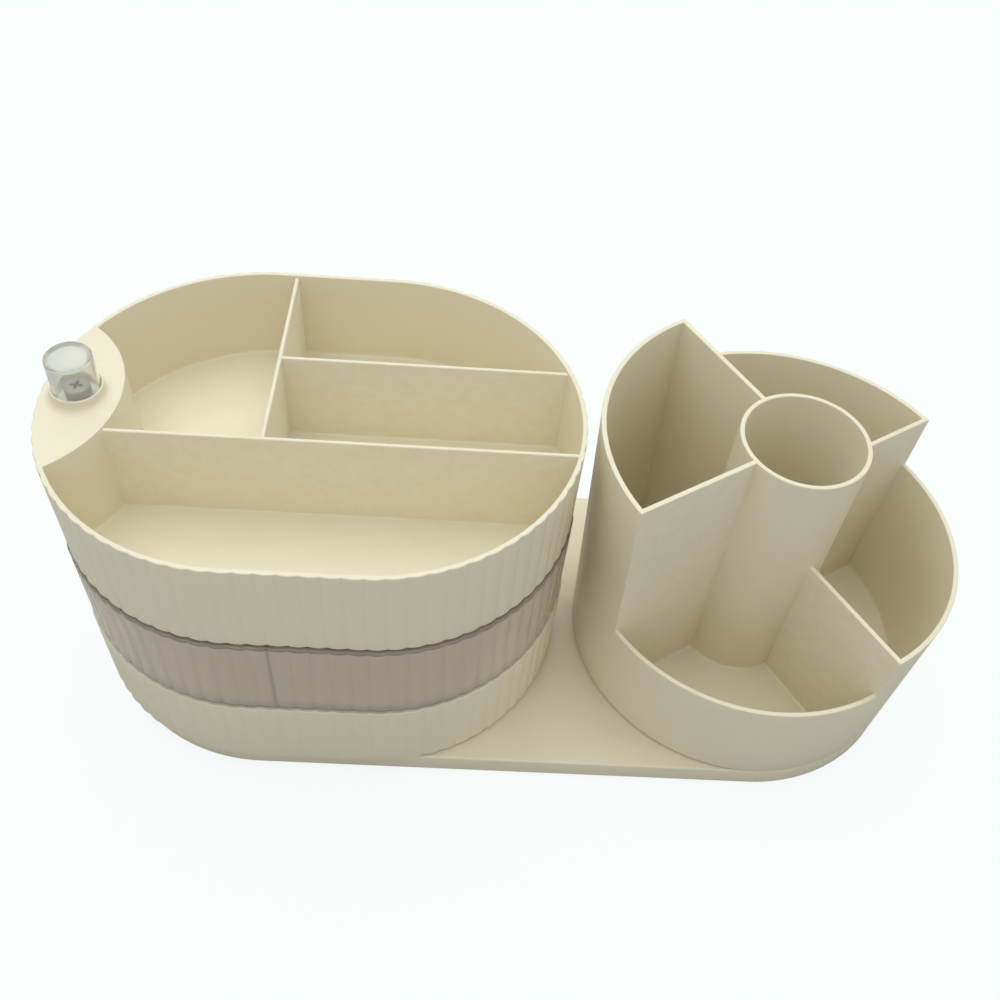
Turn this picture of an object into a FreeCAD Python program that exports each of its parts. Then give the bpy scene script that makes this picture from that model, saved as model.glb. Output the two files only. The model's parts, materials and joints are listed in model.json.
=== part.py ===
import FreeCAD, Part
import math
import os

# Tiered makeup organizer: three trays that swing on one rod, and a stepped
# brush holder that turns on a ring of balls, both on one long base.
# Millimetres, +Z up. The origin is on the table, under the middle of the
# whole organizer; +X runs from the trays to the brush holder, -Y is the front.

Vector = FreeCAD.Vector
UP = Vector(0, 0, 1)

# Overall sizes
foot_proud = 1.0
base_height = 9.0
base_radius = 68.4
axis_distance = 191.35
tray_depth = 144.0
tray_straight = 42.5
tray_heights = (36.2, 39.2, 40.1)
tray_gap = 1.0

# Walls of the mouldings
tray_wall = 1.9
tray_floor = 1.8
tray_draft = 0.6
divider_top = 1.5
divider_foot = 1.9
divider_drop = 1.0
flute_count = 82
flute_depth = 0.45
flute_chords = 3

# Places of the dividers, from the middle of the tray
long_divider_y = -15.0
cross_divider_x = -16.4
short_divider_y = 25.0
middle_divider_x = -10.5

# Hollow pivot column at the tray's left end
pivot_inset = 13.1
column_radius = 43.0
column_reach = 14.2
column_wall = 1.8
column_top = 2.0
sleeve_radius = 6.6
rib_thickness = 1.4

# Pivot rod and what holds it
rod_radius = 4.0
running_gap = 0.05
rod_seat_depth = 2.5
rod_boss_radius = 8.0
stud_radius = 3.0
washer_thickness = 0.6
washer_radius = 7.0
plate_washer_radius = 6.2
rod_washer_room = 0.6
plate_washer_thickness = 0.8
rod_nut_height = 2.4
rod_nut_flats = 10.0
top_washer_radius = 5.6
screw_head_radius = 4.2
screw_head_height = 3.2
screw_radius = 2.0
screw_length = 10.0
slot_half_length = 2.1
slot_half_width = 0.6
slot_depth = 1.3
washer_sides = 14
shank_sides = 16

# Collar on the top tray and the clear cap in it
collar_height = 4.1
collar_top_radius = 8.9
collar_foot_radius = 11.2
collar_wall = 0.8
cap_height = 12.4
cap_foot_radius = 8.0
cap_top_radius = 7.8
cap_wall = 1.6
cap_roof = 1.5
cap_sides = 36

# Brush holder
holder_foot_radius = 68.6
holder_rim_radius = 72.0
holder_gap = 0.7
holder_wall = 1.9
holder_floor = 2.2
holder_turn = 31.5
holder_sides = 80
tube_radius = 23.2
tube_wall = 1.7
tube_sides = 48
sector_heights = {"back": 103.0, "tall": 125.2, "front": 55.2, "right": 78.2}
sector_order = ("back", "tall", "front", "right")

# Turntable
ball_circle = 45.0
ball_radius = 1.6
ball_count = 10
ball_sides = 6
ball_bands = 4
ring_sides = 30
ball_play = 0.05
ball_room = 0.1
race_thickness = 0.6
race_half_width = 3.4
trough_half_width = 4.0
cage_half_width = 2.8
cage_thickness = 1.6
hub_radius = 10.0
hub_height = 4.4
boss_sides = 24
bolt_radius = 4.0
bolt_head_radius = 6.5
bolt_head_height = 1.8
spindle_nut_height = 4.0
spindle_nut_flats = 10.0
spindle_washer_radius = 8.0

# Base moulding
base_skin = 2.2
base_edge_chamfer = 0.8
base_rib = 1.6
base_rib_lift = 1.5
base_rib_y = 34.0
base_rib_spacing = 84.0
boss_radius = 9.5
foot_side = 13.0
foot_margin = 1.6
foot_spread_y = 38.0
foot_inset_x = 42.0

# Worked out from the sizes above
base_bottom = foot_proud
base_top = base_bottom + base_height
tray_radius = tray_depth / 2
half_straight = tray_straight / 2
rim_top = base_top + sum(tray_heights) + len(tray_heights) * tray_gap
holder_bottom = base_top + holder_gap
holder_top = base_bottom + sector_heights["tall"]


def holder_radius(height):
    """Outer radius of the brush holder at a height; it widens evenly upwards."""
    share = (height - holder_bottom) / (holder_top - holder_bottom)
    return holder_foot_radius + share * (holder_rim_radius - holder_foot_radius)


right_radius = holder_radius(base_bottom + sector_heights["right"])
overall_length = tray_radius + axis_distance + right_radius
left_centre_x = -overall_length / 2 + tray_radius
holder_x = left_centre_x + axis_distance
tray_x = left_centre_x + half_straight
pivot_x = tray_x - half_straight - tray_radius + pivot_inset
rod_boss_bottom = base_bottom + plate_washer_thickness + rod_nut_height + running_gap
rod_end = rim_top + washer_thickness
upper_race_bottom = holder_bottom - race_thickness
ball_centre = upper_race_bottom - ball_play - ball_radius
race_top = ball_centre - ball_radius - ball_play
trough_floor = race_top - race_thickness
bolt_seat = base_bottom + bolt_head_height + base_rib
hub_top = holder_bottom + hub_height


# Outlines and simple bodies


def polygon(points):
    """Closed flat face through the points."""
    return Part.Face(Part.makePolygon(points + [points[0]]))


def stadium(centre_x, straight, radius, height):
    """Closed outline of two half circles joined by straight sides, at a height."""
    left = centre_x - straight / 2
    right = centre_x + straight / 2
    front = Part.makeLine(Vector(left, -radius, height), Vector(right, -radius, height))
    back = Part.makeLine(Vector(right, radius, height), Vector(left, radius, height))
    right_end = Part.Arc(
        Vector(right, -radius, height), Vector(right + radius, 0, height), Vector(right, radius, height)
    ).toShape()
    left_end = Part.Arc(
        Vector(left, radius, height), Vector(left - radius, 0, height), Vector(left, -radius, height)
    ).toShape()
    return Part.Wire([front, right_end, back, left_end])


def stadium_point(distance, straight, radius, outline_radius, height):
    """Point on a stadium of the given radius, at a distance round the outline.

    The distance is measured along the stadium of outline_radius, from its left pole
    towards the front, so points of two radii at one distance face each other.
    """
    quarter = math.pi * outline_radius / 2
    perimeter = 4 * quarter + 2 * straight
    distance = distance % perimeter
    mirrored = distance > perimeter / 2
    if mirrored:
        distance = perimeter - distance
    if distance < quarter:
        angle = math.pi + distance / outline_radius
        x = -straight / 2 + radius * math.cos(angle)
        y = radius * math.sin(angle)
    elif distance < quarter + straight:
        x = -straight / 2 + distance - quarter
        y = -radius
    else:
        angle = -math.pi / 2 + (distance - quarter - straight) / outline_radius
        x = straight / 2 + radius * math.cos(angle)
        y = radius * math.sin(angle)
    if mirrored:
        y = -y
    return Vector(tray_x + x, y, height)


def fluted_outline(radius, height):
    """Tray outline of equal outward scallops whose crests touch the stadium of the radius.

    Each scallop is drawn with a few chords of a parabola from valley to valley.
    """
    pitch = (2 * math.pi * tray_radius + 2 * tray_straight) / flute_count
    points = []
    for index in range(flute_count * flute_chords):
        across = 2 * (index % flute_chords) / flute_chords - 1
        reach = radius - flute_depth * across ** 2
        distance = index * pitch / flute_chords
        points.append(stadium_point(distance, tray_straight, reach, tray_radius, height))
    return Part.makePolygon(points + [points[0]])


def loft(outlines):
    """Solid with straight sides between two outlines."""
    return Part.makeLoft(outlines, True, True)


def disc(centre_x, radius, bottom, height):
    """Upright cylinder on the X axis of the plan."""
    return Part.makeCylinder(radius, height, Vector(centre_x, 0, bottom), UP)


def equal_sides(centre, corner_radius, sides):
    """Closed level outline of equal sides about a point."""
    points = []
    for step in range(sides):
        angle = 2 * math.pi * step / sides
        points.append(centre + Vector(math.cos(angle), math.sin(angle), 0) * corner_radius)
    return Part.makePolygon(points + [points[0]])


def prism(centre_x, corner_radius, sides, bottom, height):
    """Upright prism of equal sides on the X axis of the plan."""
    return Part.Face(equal_sides(Vector(centre_x, 0, bottom), corner_radius, sides)).extrude(UP * height)


def flat_ring(centre_x, outer, inner, sides, bottom, height):
    """Upright ring of many equal sides, whose flat inner sides touch the inner radius."""
    hole = prism(centre_x, inner / math.cos(math.pi / sides), sides, bottom, height)
    return prism(centre_x, outer, sides, bottom, height).cut(hole)


def washer(centre_x, outer, inner, bottom, height):
    """Thin ring on a shank."""
    return flat_ring(centre_x, outer, inner, washer_sides, bottom, height)


def nut(centre_x, flats, bore, bottom, height):
    """Hexagonal nut, measured across its flats."""
    corner_radius = flats / math.sqrt(3)
    hole = prism(centre_x, bore / math.cos(math.pi / washer_sides), washer_sides, bottom, height)
    return prism(centre_x, corner_radius, 6, bottom, height).cut(hole)


def turned(centre_x, profile):
    """Solid of revolution about a vertical axis from (radius, height) corners."""
    points = [Vector(centre_x + radius, 0, height) for radius, height in profile]
    return polygon(points).revolve(Vector(centre_x, 0, 0), UP, 360)


def box(low, high):
    """Upright box between two opposite corners."""
    size = [b - a for a, b in zip(low, high)]
    return Part.makeBox(*size, Vector(*low))


def fused(shapes):
    """One solid from several that touch or overlap."""
    return shapes[0].multiFuse(shapes[1:]).removeSplitter()


# Base


def base_outline(radius, height):
    """Base plan: rounded about the trays' left end and about the holder's axis."""
    return stadium(left_centre_x + axis_distance / 2, axis_distance, radius, height)


def base_shell():
    """Open-bottomed shell with its upper edge chamfered."""
    body = Part.Face(base_outline(base_radius, base_bottom)).extrude(UP * base_height)
    upper_edges = [edge for edge in body.Edges if edge.BoundBox.ZMin > base_top - running_gap]
    body = body.makeChamfer(base_edge_chamfer, upper_edges)
    hollow = Part.Face(base_outline(base_radius - base_skin, base_bottom))
    return body.cut(hollow.extrude(UP * (base_height - base_skin)))


def base_ribs():
    """Two long ribs and a row of cross ribs under the top skin, short of the table."""
    bottom = base_bottom + base_rib_lift
    top = base_top - base_skin / 2
    half = base_rib / 2
    inner = base_radius - base_skin / 2
    left = left_centre_x - inner
    right = holder_x + inner
    ribs = []
    for y in (-base_rib_y, base_rib_y):
        ribs.append(box((left, y - half, bottom), (right, y + half, top)))
    count = int((right - left) // base_rib_spacing)
    first = (left + right) / 2 - (count - 1) * base_rib_spacing / 2
    for index in range(count):
        x = first + index * base_rib_spacing
        ribs.append(box((x - half, -inner, bottom), (x + half, inner, top)))
    room = Part.Face(base_outline(inner, bottom)).extrude(UP * (top - bottom))
    return fused(ribs).common(room)


def foot_places():
    """Plan positions of the four feet, two at each end."""
    left = left_centre_x - foot_inset_x
    right = holder_x + foot_inset_x
    return [(x, side * foot_spread_y) for x in (left, right) for side in (-1, 1)]


def foot_block(place, side, bottom, top):
    """Upright square block at a foot's place."""
    x, y = place
    half = side / 2
    return box((x - half, y - half, bottom), (x + half, y + half, top))


def base_plate():
    """Base moulding with its ribs, bosses, ball trough and screw holes."""
    under_skin = base_top - base_skin / 2
    wall_bottom = trough_floor - base_skin
    outer = ball_circle + trough_half_width
    inner = ball_circle - trough_half_width
    wall_height = under_skin - wall_bottom
    wall_outer = outer + base_skin
    wall_inner = inner - base_skin
    trough_wall = flat_ring(holder_x, wall_outer, wall_inner, ring_sides, wall_bottom, wall_height)
    rod_boss = prism(pivot_x, rod_boss_radius, boss_sides, rod_boss_bottom, under_skin - rod_boss_bottom)
    hub_boss = prism(holder_x, boss_radius, boss_sides, bolt_seat, under_skin - bolt_seat)
    pad_side = foot_side + 2 * foot_margin
    pads = [foot_block(place, pad_side, base_bottom, under_skin) for place in foot_places()]
    body = fused([base_shell(), base_ribs(), trough_wall, rod_boss, hub_boss] + pads)
    washer_room = plate_washer_radius + rod_washer_room
    return body.cut([
        prism(pivot_x, washer_room, boss_sides, base_bottom, rod_boss_bottom - base_bottom),
        prism(holder_x, boss_radius, boss_sides, base_bottom, bolt_seat - base_bottom),
        flat_ring(holder_x, outer, inner, ring_sides, trough_floor, base_top - trough_floor),
        disc(pivot_x, rod_radius, base_top - rod_seat_depth, rod_seat_depth),
        disc(pivot_x, stud_radius + running_gap, base_bottom, base_height),
        disc(holder_x, bolt_radius, base_bottom, base_height),
    ])


def rubber_feet():
    """Square pads under the base."""
    return Part.makeCompound([foot_block(place, foot_side, 0, base_bottom) for place in foot_places()])


# Pivot rod and its fasteners


def pivot_rod():
    """Steel rod with a threaded stud below and a tapped hole above."""
    shank_bottom = base_top - rod_seat_depth
    stud_bottom = base_bottom + running_gap
    shank = disc(pivot_x, rod_radius, shank_bottom, rod_end - shank_bottom)
    stud = prism(pivot_x, stud_radius, shank_sides, stud_bottom, shank_bottom - stud_bottom)
    tapped_hole = prism(pivot_x, screw_radius, shank_sides, rod_end - screw_length, screw_length)
    return shank.fuse(stud).cut(tapped_hole).removeSplitter()


def rod_washer():
    """Flat washer under the base, on the rod's stud."""
    bottom = rod_boss_bottom - plate_washer_thickness
    return washer(pivot_x, plate_washer_radius, stud_radius, bottom, plate_washer_thickness)


def rod_nut():
    """Thin nut under the base."""
    top = rod_boss_bottom - plate_washer_thickness
    return nut(pivot_x, rod_nut_flats, stud_radius, top - rod_nut_height, rod_nut_height)


def tray_bottom(level):
    """Height of a tray's underside; level 0 is the lowest tray."""
    return base_top + sum(tray_heights[:level]) + (level + 1) * tray_gap


def tray_washers():
    """Thin washers on the rod, one under each tray."""
    drop = (tray_gap + washer_thickness) / 2
    return Part.makeCompound([
        washer(pivot_x, washer_radius, rod_radius, tray_bottom(level) - drop, washer_thickness)
        for level in range(len(tray_heights))
    ])


def top_washer():
    """Washer on the rod's end, which keeps the trays on it."""
    return washer(pivot_x, top_washer_radius, screw_radius, rod_end, plate_washer_thickness)


def top_screw():
    """Cheese-head screw in the rod's end, with a cross slot."""
    seat = rod_end + plate_washer_thickness
    top = seat + screw_head_height
    head = disc(pivot_x, screw_head_radius, seat, screw_head_height)
    shank = prism(pivot_x, screw_radius, shank_sides, seat - screw_length, screw_length)
    slots = []
    for half_x, half_y in ((slot_half_length, slot_half_width), (slot_half_width, slot_half_length)):
        slots.append(box((pivot_x - half_x, -half_y, top - slot_depth), (pivot_x + half_x, half_y, top)))
    return head.fuse(shank).cut(slots)


# Trays


def divider(low, high, bottom, top):
    """Upright plate that is a little thicker at its foot; low and high are its centre line's ends."""
    along_x = low[1] == high[1]
    outlines = []
    for height, thickness in ((bottom, divider_foot), (top, divider_top)):
        half = thickness / 2
        dx, dy = (0, half) if along_x else (half, 0)
        corners = [
            Vector(low[0] - dx, low[1] - dy, height),
            Vector(high[0] + dx, low[1] - dy, height),
            Vector(high[0] + dx, high[1] + dy, height),
            Vector(low[0] - dx, high[1] + dy, height),
        ]
        outlines.append(Part.makePolygon(corners + [corners[0]]))
    return loft(outlines)


def top_dividers(bottom, top):
    """Long divider, a cross divider behind it and a short one to the right wall."""
    cross = tray_x + cross_divider_x
    right = tray_x + half_straight + tray_radius
    left = pivot_x
    return [
        divider((left, long_divider_y), (right, long_divider_y), bottom, top),
        divider((cross, long_divider_y), (cross, tray_radius), bottom, top),
        divider((cross, short_divider_y), (right, short_divider_y), bottom, top),
    ]


def middle_dividers(bottom, top):
    """One divider from the front wall to the back wall."""
    x = tray_x + middle_divider_x
    return [divider((x, -tray_radius), (x, tray_radius), bottom, top)]


def no_dividers(bottom, top):
    """The lowest tray is one open space."""
    return []


def column_face(radius, bottom, height):
    """Round body whose right side is the face of the pivot column."""
    centre_x = pivot_x + column_reach - column_radius
    return disc(centre_x, radius, bottom, height)


def tray_room(bottom, rim, make_dividers):
    """Space inside a tray, less the column and the dividers."""
    floor_top = bottom + tray_floor
    outline = stadium(tray_x, tray_straight, tray_radius - tray_wall, floor_top)
    room = Part.Face(outline).extrude(UP * (rim - floor_top))
    column = column_face(column_radius, bottom, rim - bottom)
    return room.cut([column] + make_dividers(floor_top, rim - divider_drop))


def column_core(bottom, height):
    """Hollow of the pivot column, open below, with a sleeve and ribs left standing."""
    wall = column_face(column_radius - column_wall, bottom, height)
    inside = Part.Face(
        stadium(tray_x, tray_straight, tray_radius - tray_draft - tray_wall, bottom)
    ).extrude(UP * height)
    half = rib_thickness / 2
    keep = [
        disc(pivot_x, sleeve_radius, bottom, height),
        box((pivot_x - tray_radius, -half, bottom), (pivot_x + tray_radius, half, bottom + height)),
        box((pivot_x - half, -tray_radius, bottom), (pivot_x + half, tray_radius, bottom + height)),
    ]
    return wall.common(inside).cut(keep)


def tray(level, make_dividers):
    """One tray moulding: fluted wall, floor, dividers and hollow pivot column."""
    bottom = tray_bottom(level)
    height = tray_heights[level]
    rim = bottom + height
    body = loft([fluted_outline(tray_radius - tray_draft, bottom), fluted_outline(tray_radius, rim)])
    core = column_core(bottom, height - column_top)
    bore = disc(pivot_x, rod_radius + running_gap, bottom, height)
    return body.cut([tray_room(bottom, rim, make_dividers), core, bore])


def bottom_tray():
    """Lowest tray."""
    return tray(0, no_dividers)


def middle_tray():
    """Clear tray."""
    return tray(1, middle_dividers)


def top_tray():
    """Upper tray, with the flared collar round the rod's end."""
    flare = collar_foot_radius - collar_top_radius
    foot = rim_top - column_top / 2
    top = rim_top + collar_height
    collar = turned(pivot_x, [
        (0, foot),
        (collar_foot_radius, foot),
        (collar_foot_radius, rim_top),
        (collar_top_radius, rim_top + flare),
        (collar_top_radius, top),
        (0, top),
    ])
    recess = disc(pivot_x, collar_top_radius - collar_wall, rim_top, collar_height)
    bore = disc(pivot_x, rod_radius + running_gap, rim_top - column_top, column_top)
    return tray(2, top_dividers).fuse(collar).cut([recess, bore]).removeSplitter()


def pivot_cap():
    """Clear tapered thimble that plugs into the collar and covers the screw."""
    foot = rim_top + washer_thickness
    top = rim_top + collar_height + cap_height
    roof = top - cap_roof
    body = loft([
        equal_sides(Vector(pivot_x, 0, foot), cap_foot_radius, cap_sides),
        equal_sides(Vector(pivot_x, 0, top), cap_top_radius, cap_sides),
    ])
    room = loft([
        equal_sides(Vector(pivot_x, 0, foot), cap_foot_radius - cap_wall, cap_sides),
        equal_sides(Vector(pivot_x, 0, roof), cap_top_radius - cap_wall, cap_sides),
    ])
    return body.cut(room)


# Turntable


def race(bottom):
    """Flat steel ring that the balls roll on."""
    outer = ball_circle + race_half_width
    inner = ball_circle - race_half_width
    return flat_ring(holder_x, outer, inner, ring_sides, bottom, race_thickness)


def lower_race():
    """Ring in the base's trough."""
    return race(trough_floor)


def upper_race():
    """Ring under the brush holder."""
    return race(upper_race_bottom)


def ball_places():
    """Centres of the balls, evenly round their circle."""
    places = []
    for index in range(ball_count):
        angle = 2 * math.pi * index / ball_count
        x = holder_x + ball_circle * math.cos(angle)
        places.append(Vector(x, ball_circle * math.sin(angle), ball_centre))
    return places


def ball(centre):
    """Ball of flat-sided bands from pole to pole, because there are many of them."""
    sections = [Part.Vertex(centre - UP * ball_radius)]
    for band in range(1, ball_bands):
        latitude = math.pi * (band / ball_bands - 1 / 2)
        middle = centre + UP * ball_radius * math.sin(latitude)
        sections.append(equal_sides(middle, ball_radius * math.cos(latitude), ball_sides))
    sections.append(Part.Vertex(centre + UP * ball_radius))
    return loft(sections)


def bearing_balls():
    """Steel balls."""
    return Part.makeCompound([ball(centre) for centre in ball_places()])


def ball_cage():
    """Plastic ring that spaces the balls, with one pocket for each."""
    bottom = ball_centre - cage_thickness / 2
    outer = ball_circle + cage_half_width
    inner = ball_circle - cage_half_width
    pockets = []
    for at in ball_places():
        outline = equal_sides(Vector(at.x, at.y, bottom), ball_radius + ball_room, ball_sides)
        pockets.append(Part.Face(outline).extrude(UP * cage_thickness))
    return flat_ring(holder_x, outer, inner, ring_sides, bottom, cage_thickness).cut(pockets)


def spindle_bolt():
    """Shoulder bolt up through the base and the holder's hub."""
    head_bottom = bolt_seat - bolt_head_height
    shoulder_top = hub_top + running_gap
    thread_top = shoulder_top + plate_washer_thickness + spindle_nut_height + running_gap
    head = prism(holder_x, bolt_head_radius, 6, head_bottom, bolt_head_height)
    shoulder = disc(holder_x, bolt_radius, bolt_seat, shoulder_top - bolt_seat)
    thread = prism(holder_x, stud_radius, shank_sides, shoulder_top, thread_top - shoulder_top)
    return fused([head, shoulder, thread])


def spindle_washer():
    """Washer on the bolt's shoulder, over the hub."""
    bottom = hub_top + running_gap
    return washer(holder_x, spindle_washer_radius, stud_radius, bottom, plate_washer_thickness)


def spindle_nut():
    """Nut at the foot of the tube."""
    bottom = hub_top + running_gap + plate_washer_thickness
    return nut(holder_x, spindle_nut_flats, stud_radius, bottom, spindle_nut_height)


# Brush holder


def holder_outline(inset, height):
    """Holder's outline at a height, set in from the outside, as many equal sides."""
    centre = Vector(holder_x, 0, height)
    return equal_sides(centre, holder_radius(height) - inset, holder_sides)


def quarter_space(index, first_side, last_side, bottom, top):
    """Upright space of one quarter outside the tube.

    The sides are the distances of its two flat sides from the middle planes of the
    walls at its start and at its end, towards the quarter.
    """
    reach = holder_rim_radius + holder_wall
    block = box((holder_x + last_side, first_side, bottom), (holder_x + reach, reach, top))
    block = block.rotate(Vector(holder_x, 0, 0), UP, holder_turn + index * 90)
    return block.cut(prism(holder_x, tube_radius, tube_sides, bottom, top - bottom))


def quarter(name):
    """One quarter of the holder: outer wall, floor, and each side wall that it is taller than.

    A wall between two quarters is as tall as the taller one, and belongs to it.
    """
    index = sector_order.index(name)
    own = sector_heights[name]
    before = sector_heights[sector_order[index - 1]]
    after = sector_heights[sector_order[(index + 1) % len(sector_order)]]
    half = holder_wall / 2
    first_side = -half if own > before else half
    last_side = -half if own > after else half
    top = base_bottom + own
    floor_top = holder_bottom + holder_floor
    body = loft([holder_outline(0, holder_bottom), holder_outline(0, top)])
    body = body.common(quarter_space(index, first_side, last_side, holder_bottom, top))
    room = loft([holder_outline(holder_wall, floor_top), holder_outline(holder_wall, top)])
    room = room.common(quarter_space(index, half, half, floor_top, top))
    return body.cut(room).removeSplitter()


def back_quarter():
    """Second tallest quarter, at the back."""
    return quarter("back")


def tall_quarter():
    """Tallest quarter, towards the trays, with both its side walls."""
    return quarter("tall")


def front_quarter():
    """Lowest quarter, at the front."""
    return quarter("front")


def right_quarter():
    """Third quarter, at the organizer's right end."""
    return quarter("right")


def brush_tube():
    """Tube in the middle of the holder, with its floor and the hub for the bolt."""
    height = holder_top - holder_bottom
    floor_top = holder_bottom + holder_floor
    bore_corner_radius = (tube_radius - tube_wall) / math.cos(math.pi / tube_sides)
    tube = prism(holder_x, tube_radius, tube_sides, holder_bottom, height)
    room = prism(holder_x, bore_corner_radius, tube_sides, floor_top, holder_top - floor_top)
    hub = prism(holder_x, hub_radius, boss_sides, holder_bottom, hub_height)
    bolt_bore = disc(holder_x, bolt_radius + running_gap, holder_bottom, hub_height)
    return tube.cut(room).fuse(hub).cut(bolt_bore).removeSplitter()


nodes = {
    "base_plate": base_plate,
    "rubber_feet": rubber_feet,
    "pivot_rod": pivot_rod,
    "rod_washer": rod_washer,
    "rod_nut": rod_nut,
    "tray_washers": tray_washers,
    "top_washer": top_washer,
    "top_screw": top_screw,
    "bottom_tray": bottom_tray,
    "middle_tray": middle_tray,
    "top_tray": top_tray,
    "pivot_cap": pivot_cap,
    "lower_race": lower_race,
    "upper_race": upper_race,
    "ball_cage": ball_cage,
    "bearing_balls": bearing_balls,
    "spindle_bolt": spindle_bolt,
    "spindle_washer": spindle_washer,
    "spindle_nut": spindle_nut,
    "back_quarter": back_quarter,
    "tall_quarter": tall_quarter,
    "front_quarter": front_quarter,
    "right_quarter": right_quarter,
    "brush_tube": brush_tube,
}

os.makedirs("parts", exist_ok=True)
for name, make in nodes.items():
    shape = make()
    print(name, "valid", shape.isValid(), "solids", len(shape.Solids), "faces", len(shape.Faces),
          "volume", round(shape.Volume))
    shape.exportStep("parts/" + name + ".step")
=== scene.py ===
"""Tiered makeup organizer: three trays that swing on a rod, and a stepped brush holder that turns.

Everything is in metres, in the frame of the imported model: +Z up, the origin on the table, +X from the
trays to the brush holder, -Y the front. Sizes come from the frame's boxes and joints, and from the
dataclass fields of the piece that they belong to.
"""
import json
import logging
import math
from dataclasses import dataclass, field
from enum import Enum
from typing import Mapping, Sequence

import bmesh
import bpy
import numpy as np
from mathutils import Matrix, Vector
from mathutils.geometry import tessellate_polygon


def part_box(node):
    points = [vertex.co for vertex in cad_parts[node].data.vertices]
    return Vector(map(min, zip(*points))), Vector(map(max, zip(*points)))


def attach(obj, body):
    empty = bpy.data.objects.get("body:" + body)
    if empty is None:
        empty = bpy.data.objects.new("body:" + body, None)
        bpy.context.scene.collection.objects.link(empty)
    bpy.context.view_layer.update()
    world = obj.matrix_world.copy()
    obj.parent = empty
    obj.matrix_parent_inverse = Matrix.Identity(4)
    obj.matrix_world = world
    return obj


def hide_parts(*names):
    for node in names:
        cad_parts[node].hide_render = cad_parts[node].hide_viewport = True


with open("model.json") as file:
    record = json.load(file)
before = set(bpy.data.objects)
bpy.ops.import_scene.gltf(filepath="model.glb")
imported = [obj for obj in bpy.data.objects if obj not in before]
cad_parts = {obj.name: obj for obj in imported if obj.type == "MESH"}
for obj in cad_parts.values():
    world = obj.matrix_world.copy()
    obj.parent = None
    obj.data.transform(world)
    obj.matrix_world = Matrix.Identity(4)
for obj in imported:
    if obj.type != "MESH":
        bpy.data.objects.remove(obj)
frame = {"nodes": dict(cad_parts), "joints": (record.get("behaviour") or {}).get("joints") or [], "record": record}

LOG = logging.getLogger("organizer")
MM = 0.001
FULL_TURN = 2 * math.pi
RIGHT_ANGLE = math.pi / 2
SMOOTH_LIMIT = math.radians(25)
MERGE_DISTANCE = 1e-7
OUTSIDE_SHARES = (0.25, 0.5, 0.75)
INSIDE_SHARES = (0.33, 0.67)
GROUP_COLOR = (0.8, 0.74, 0.6, 1)
GROUP_ROUGHNESS = 0.35
NOISE_MIDDLE = 0.5

# Triple: a colour, a place in space or a scale. Pair: a point of a plan or a profile, or a range.
Triple = tuple[float, float, float]
Pair = tuple[float, float]


class Body(Enum):
    """The bodies of the frame that the new pieces ride on."""

    BASE = "base"
    BOTTOM_TRAY = "bottom_tray"
    MIDDLE_TRAY = "middle_tray"
    TOP_TRAY = "top_tray"
    HOLDER = "holder"


class Dividers(Enum):
    """How a tray is divided."""

    NONE = "none"
    CROSS = "cross"
    THREE = "three"


class Cut(Enum):
    """What happens to a body where a part meets it."""

    JOIN = "UNION"
    TAKE_OUT = "DIFFERENCE"


def joint_x(name: str) -> float:
    """X of the upright axis of a joint, by the joint's name in the frame."""
    return next(joint["pos_m"][0] for joint in frame["joints"] if joint["name"] == name)


PIVOT_X = joint_x("top_tray_swing")
HOLDER_X = joint_x("holder_spin")


def quarter_round(radius: float, steps: int) -> list[Pair]:
    """Quarter circle from a flat top to an upright side.

    The angle t runs evenly from 0 to a right angle; the point lies radius * (1 - sin t) inside the side
    and radius * (1 - cos t) below the top.

    Args:
        radius: radius of the round.
        steps: number of chords.

    Returns:
        Each point's distance inside the side and its distance below the top.
    """
    angle = np.linspace(0, RIGHT_ANGLE, steps + 1)
    return list(zip(radius * (1 - np.sin(angle)), radius * (1 - np.cos(angle))))


def around(angle: np.ndarray) -> np.ndarray:
    """Unit directions at the angles, as rows of x and y."""
    return np.column_stack([np.cos(angle), np.sin(angle)])


def circle(centre_x: float, radius: float, count: int) -> np.ndarray:
    """Closed circle about a point on the X axis of the plan.

    Point k stands at the angle k full turns over the count.

    Args:
        centre_x: x of the centre.
        radius: radius.
        count: number of points.

    Returns:
        The points as rows of x and y.
    """
    return radius * around(np.arange(count) * FULL_TURN / count) + (centre_x, 0)


def linked(name: str, data: bpy.types.ID) -> bpy.types.Object:
    """Makes an object of a mesh, camera or light and links it to the scene.

    Args:
        name: the object's name.
        data: what it shows.

    Returns:
        The object.
    """
    thing = bpy.data.objects.new(name, data)
    bpy.context.scene.collection.objects.link(thing)
    return thing


def smooth(mesh: bpy.types.Mesh) -> None:
    """Shades a mesh smooth, with creases only at real edges."""
    mesh.shade_smooth()
    mesh.set_sharp_from_angle(angle=SMOOTH_LIMIT)


def finish_mesh(mesh: bpy.types.Mesh) -> bpy.types.Object:
    """Cleans a raw mesh, smooths all but its real edges and links an object.

    Doubles are merged, stray edges dropped, the triangles of level caps evened out so that none is empty,
    and the faces turned outwards.

    Args:
        mesh: the raw mesh, whose name the object takes.

    Returns:
        The linked object.
    """
    work = bmesh.new()
    work.from_mesh(mesh)
    bmesh.ops.remove_doubles(work, verts=work.verts, dist=MERGE_DISTANCE)
    bmesh.ops.delete(work, geom=[edge for edge in work.edges if edge.is_wire], context="EDGES")
    triangles = [face for face in work.faces if len(face.verts) == 3]
    level = [face for face in triangles if len({vert.co.z for vert in face.verts}) == 1]
    chosen = set(level)
    inner = [edge for edge in work.edges if chosen.issuperset(edge.link_faces)]
    bmesh.ops.beautify_fill(work, faces=level, edges=inner, method="ANGLE")
    bmesh.ops.recalc_face_normals(work, faces=work.faces)
    work.to_mesh(mesh)
    work.free()
    smooth(mesh)
    return linked(mesh.name, mesh)


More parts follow.
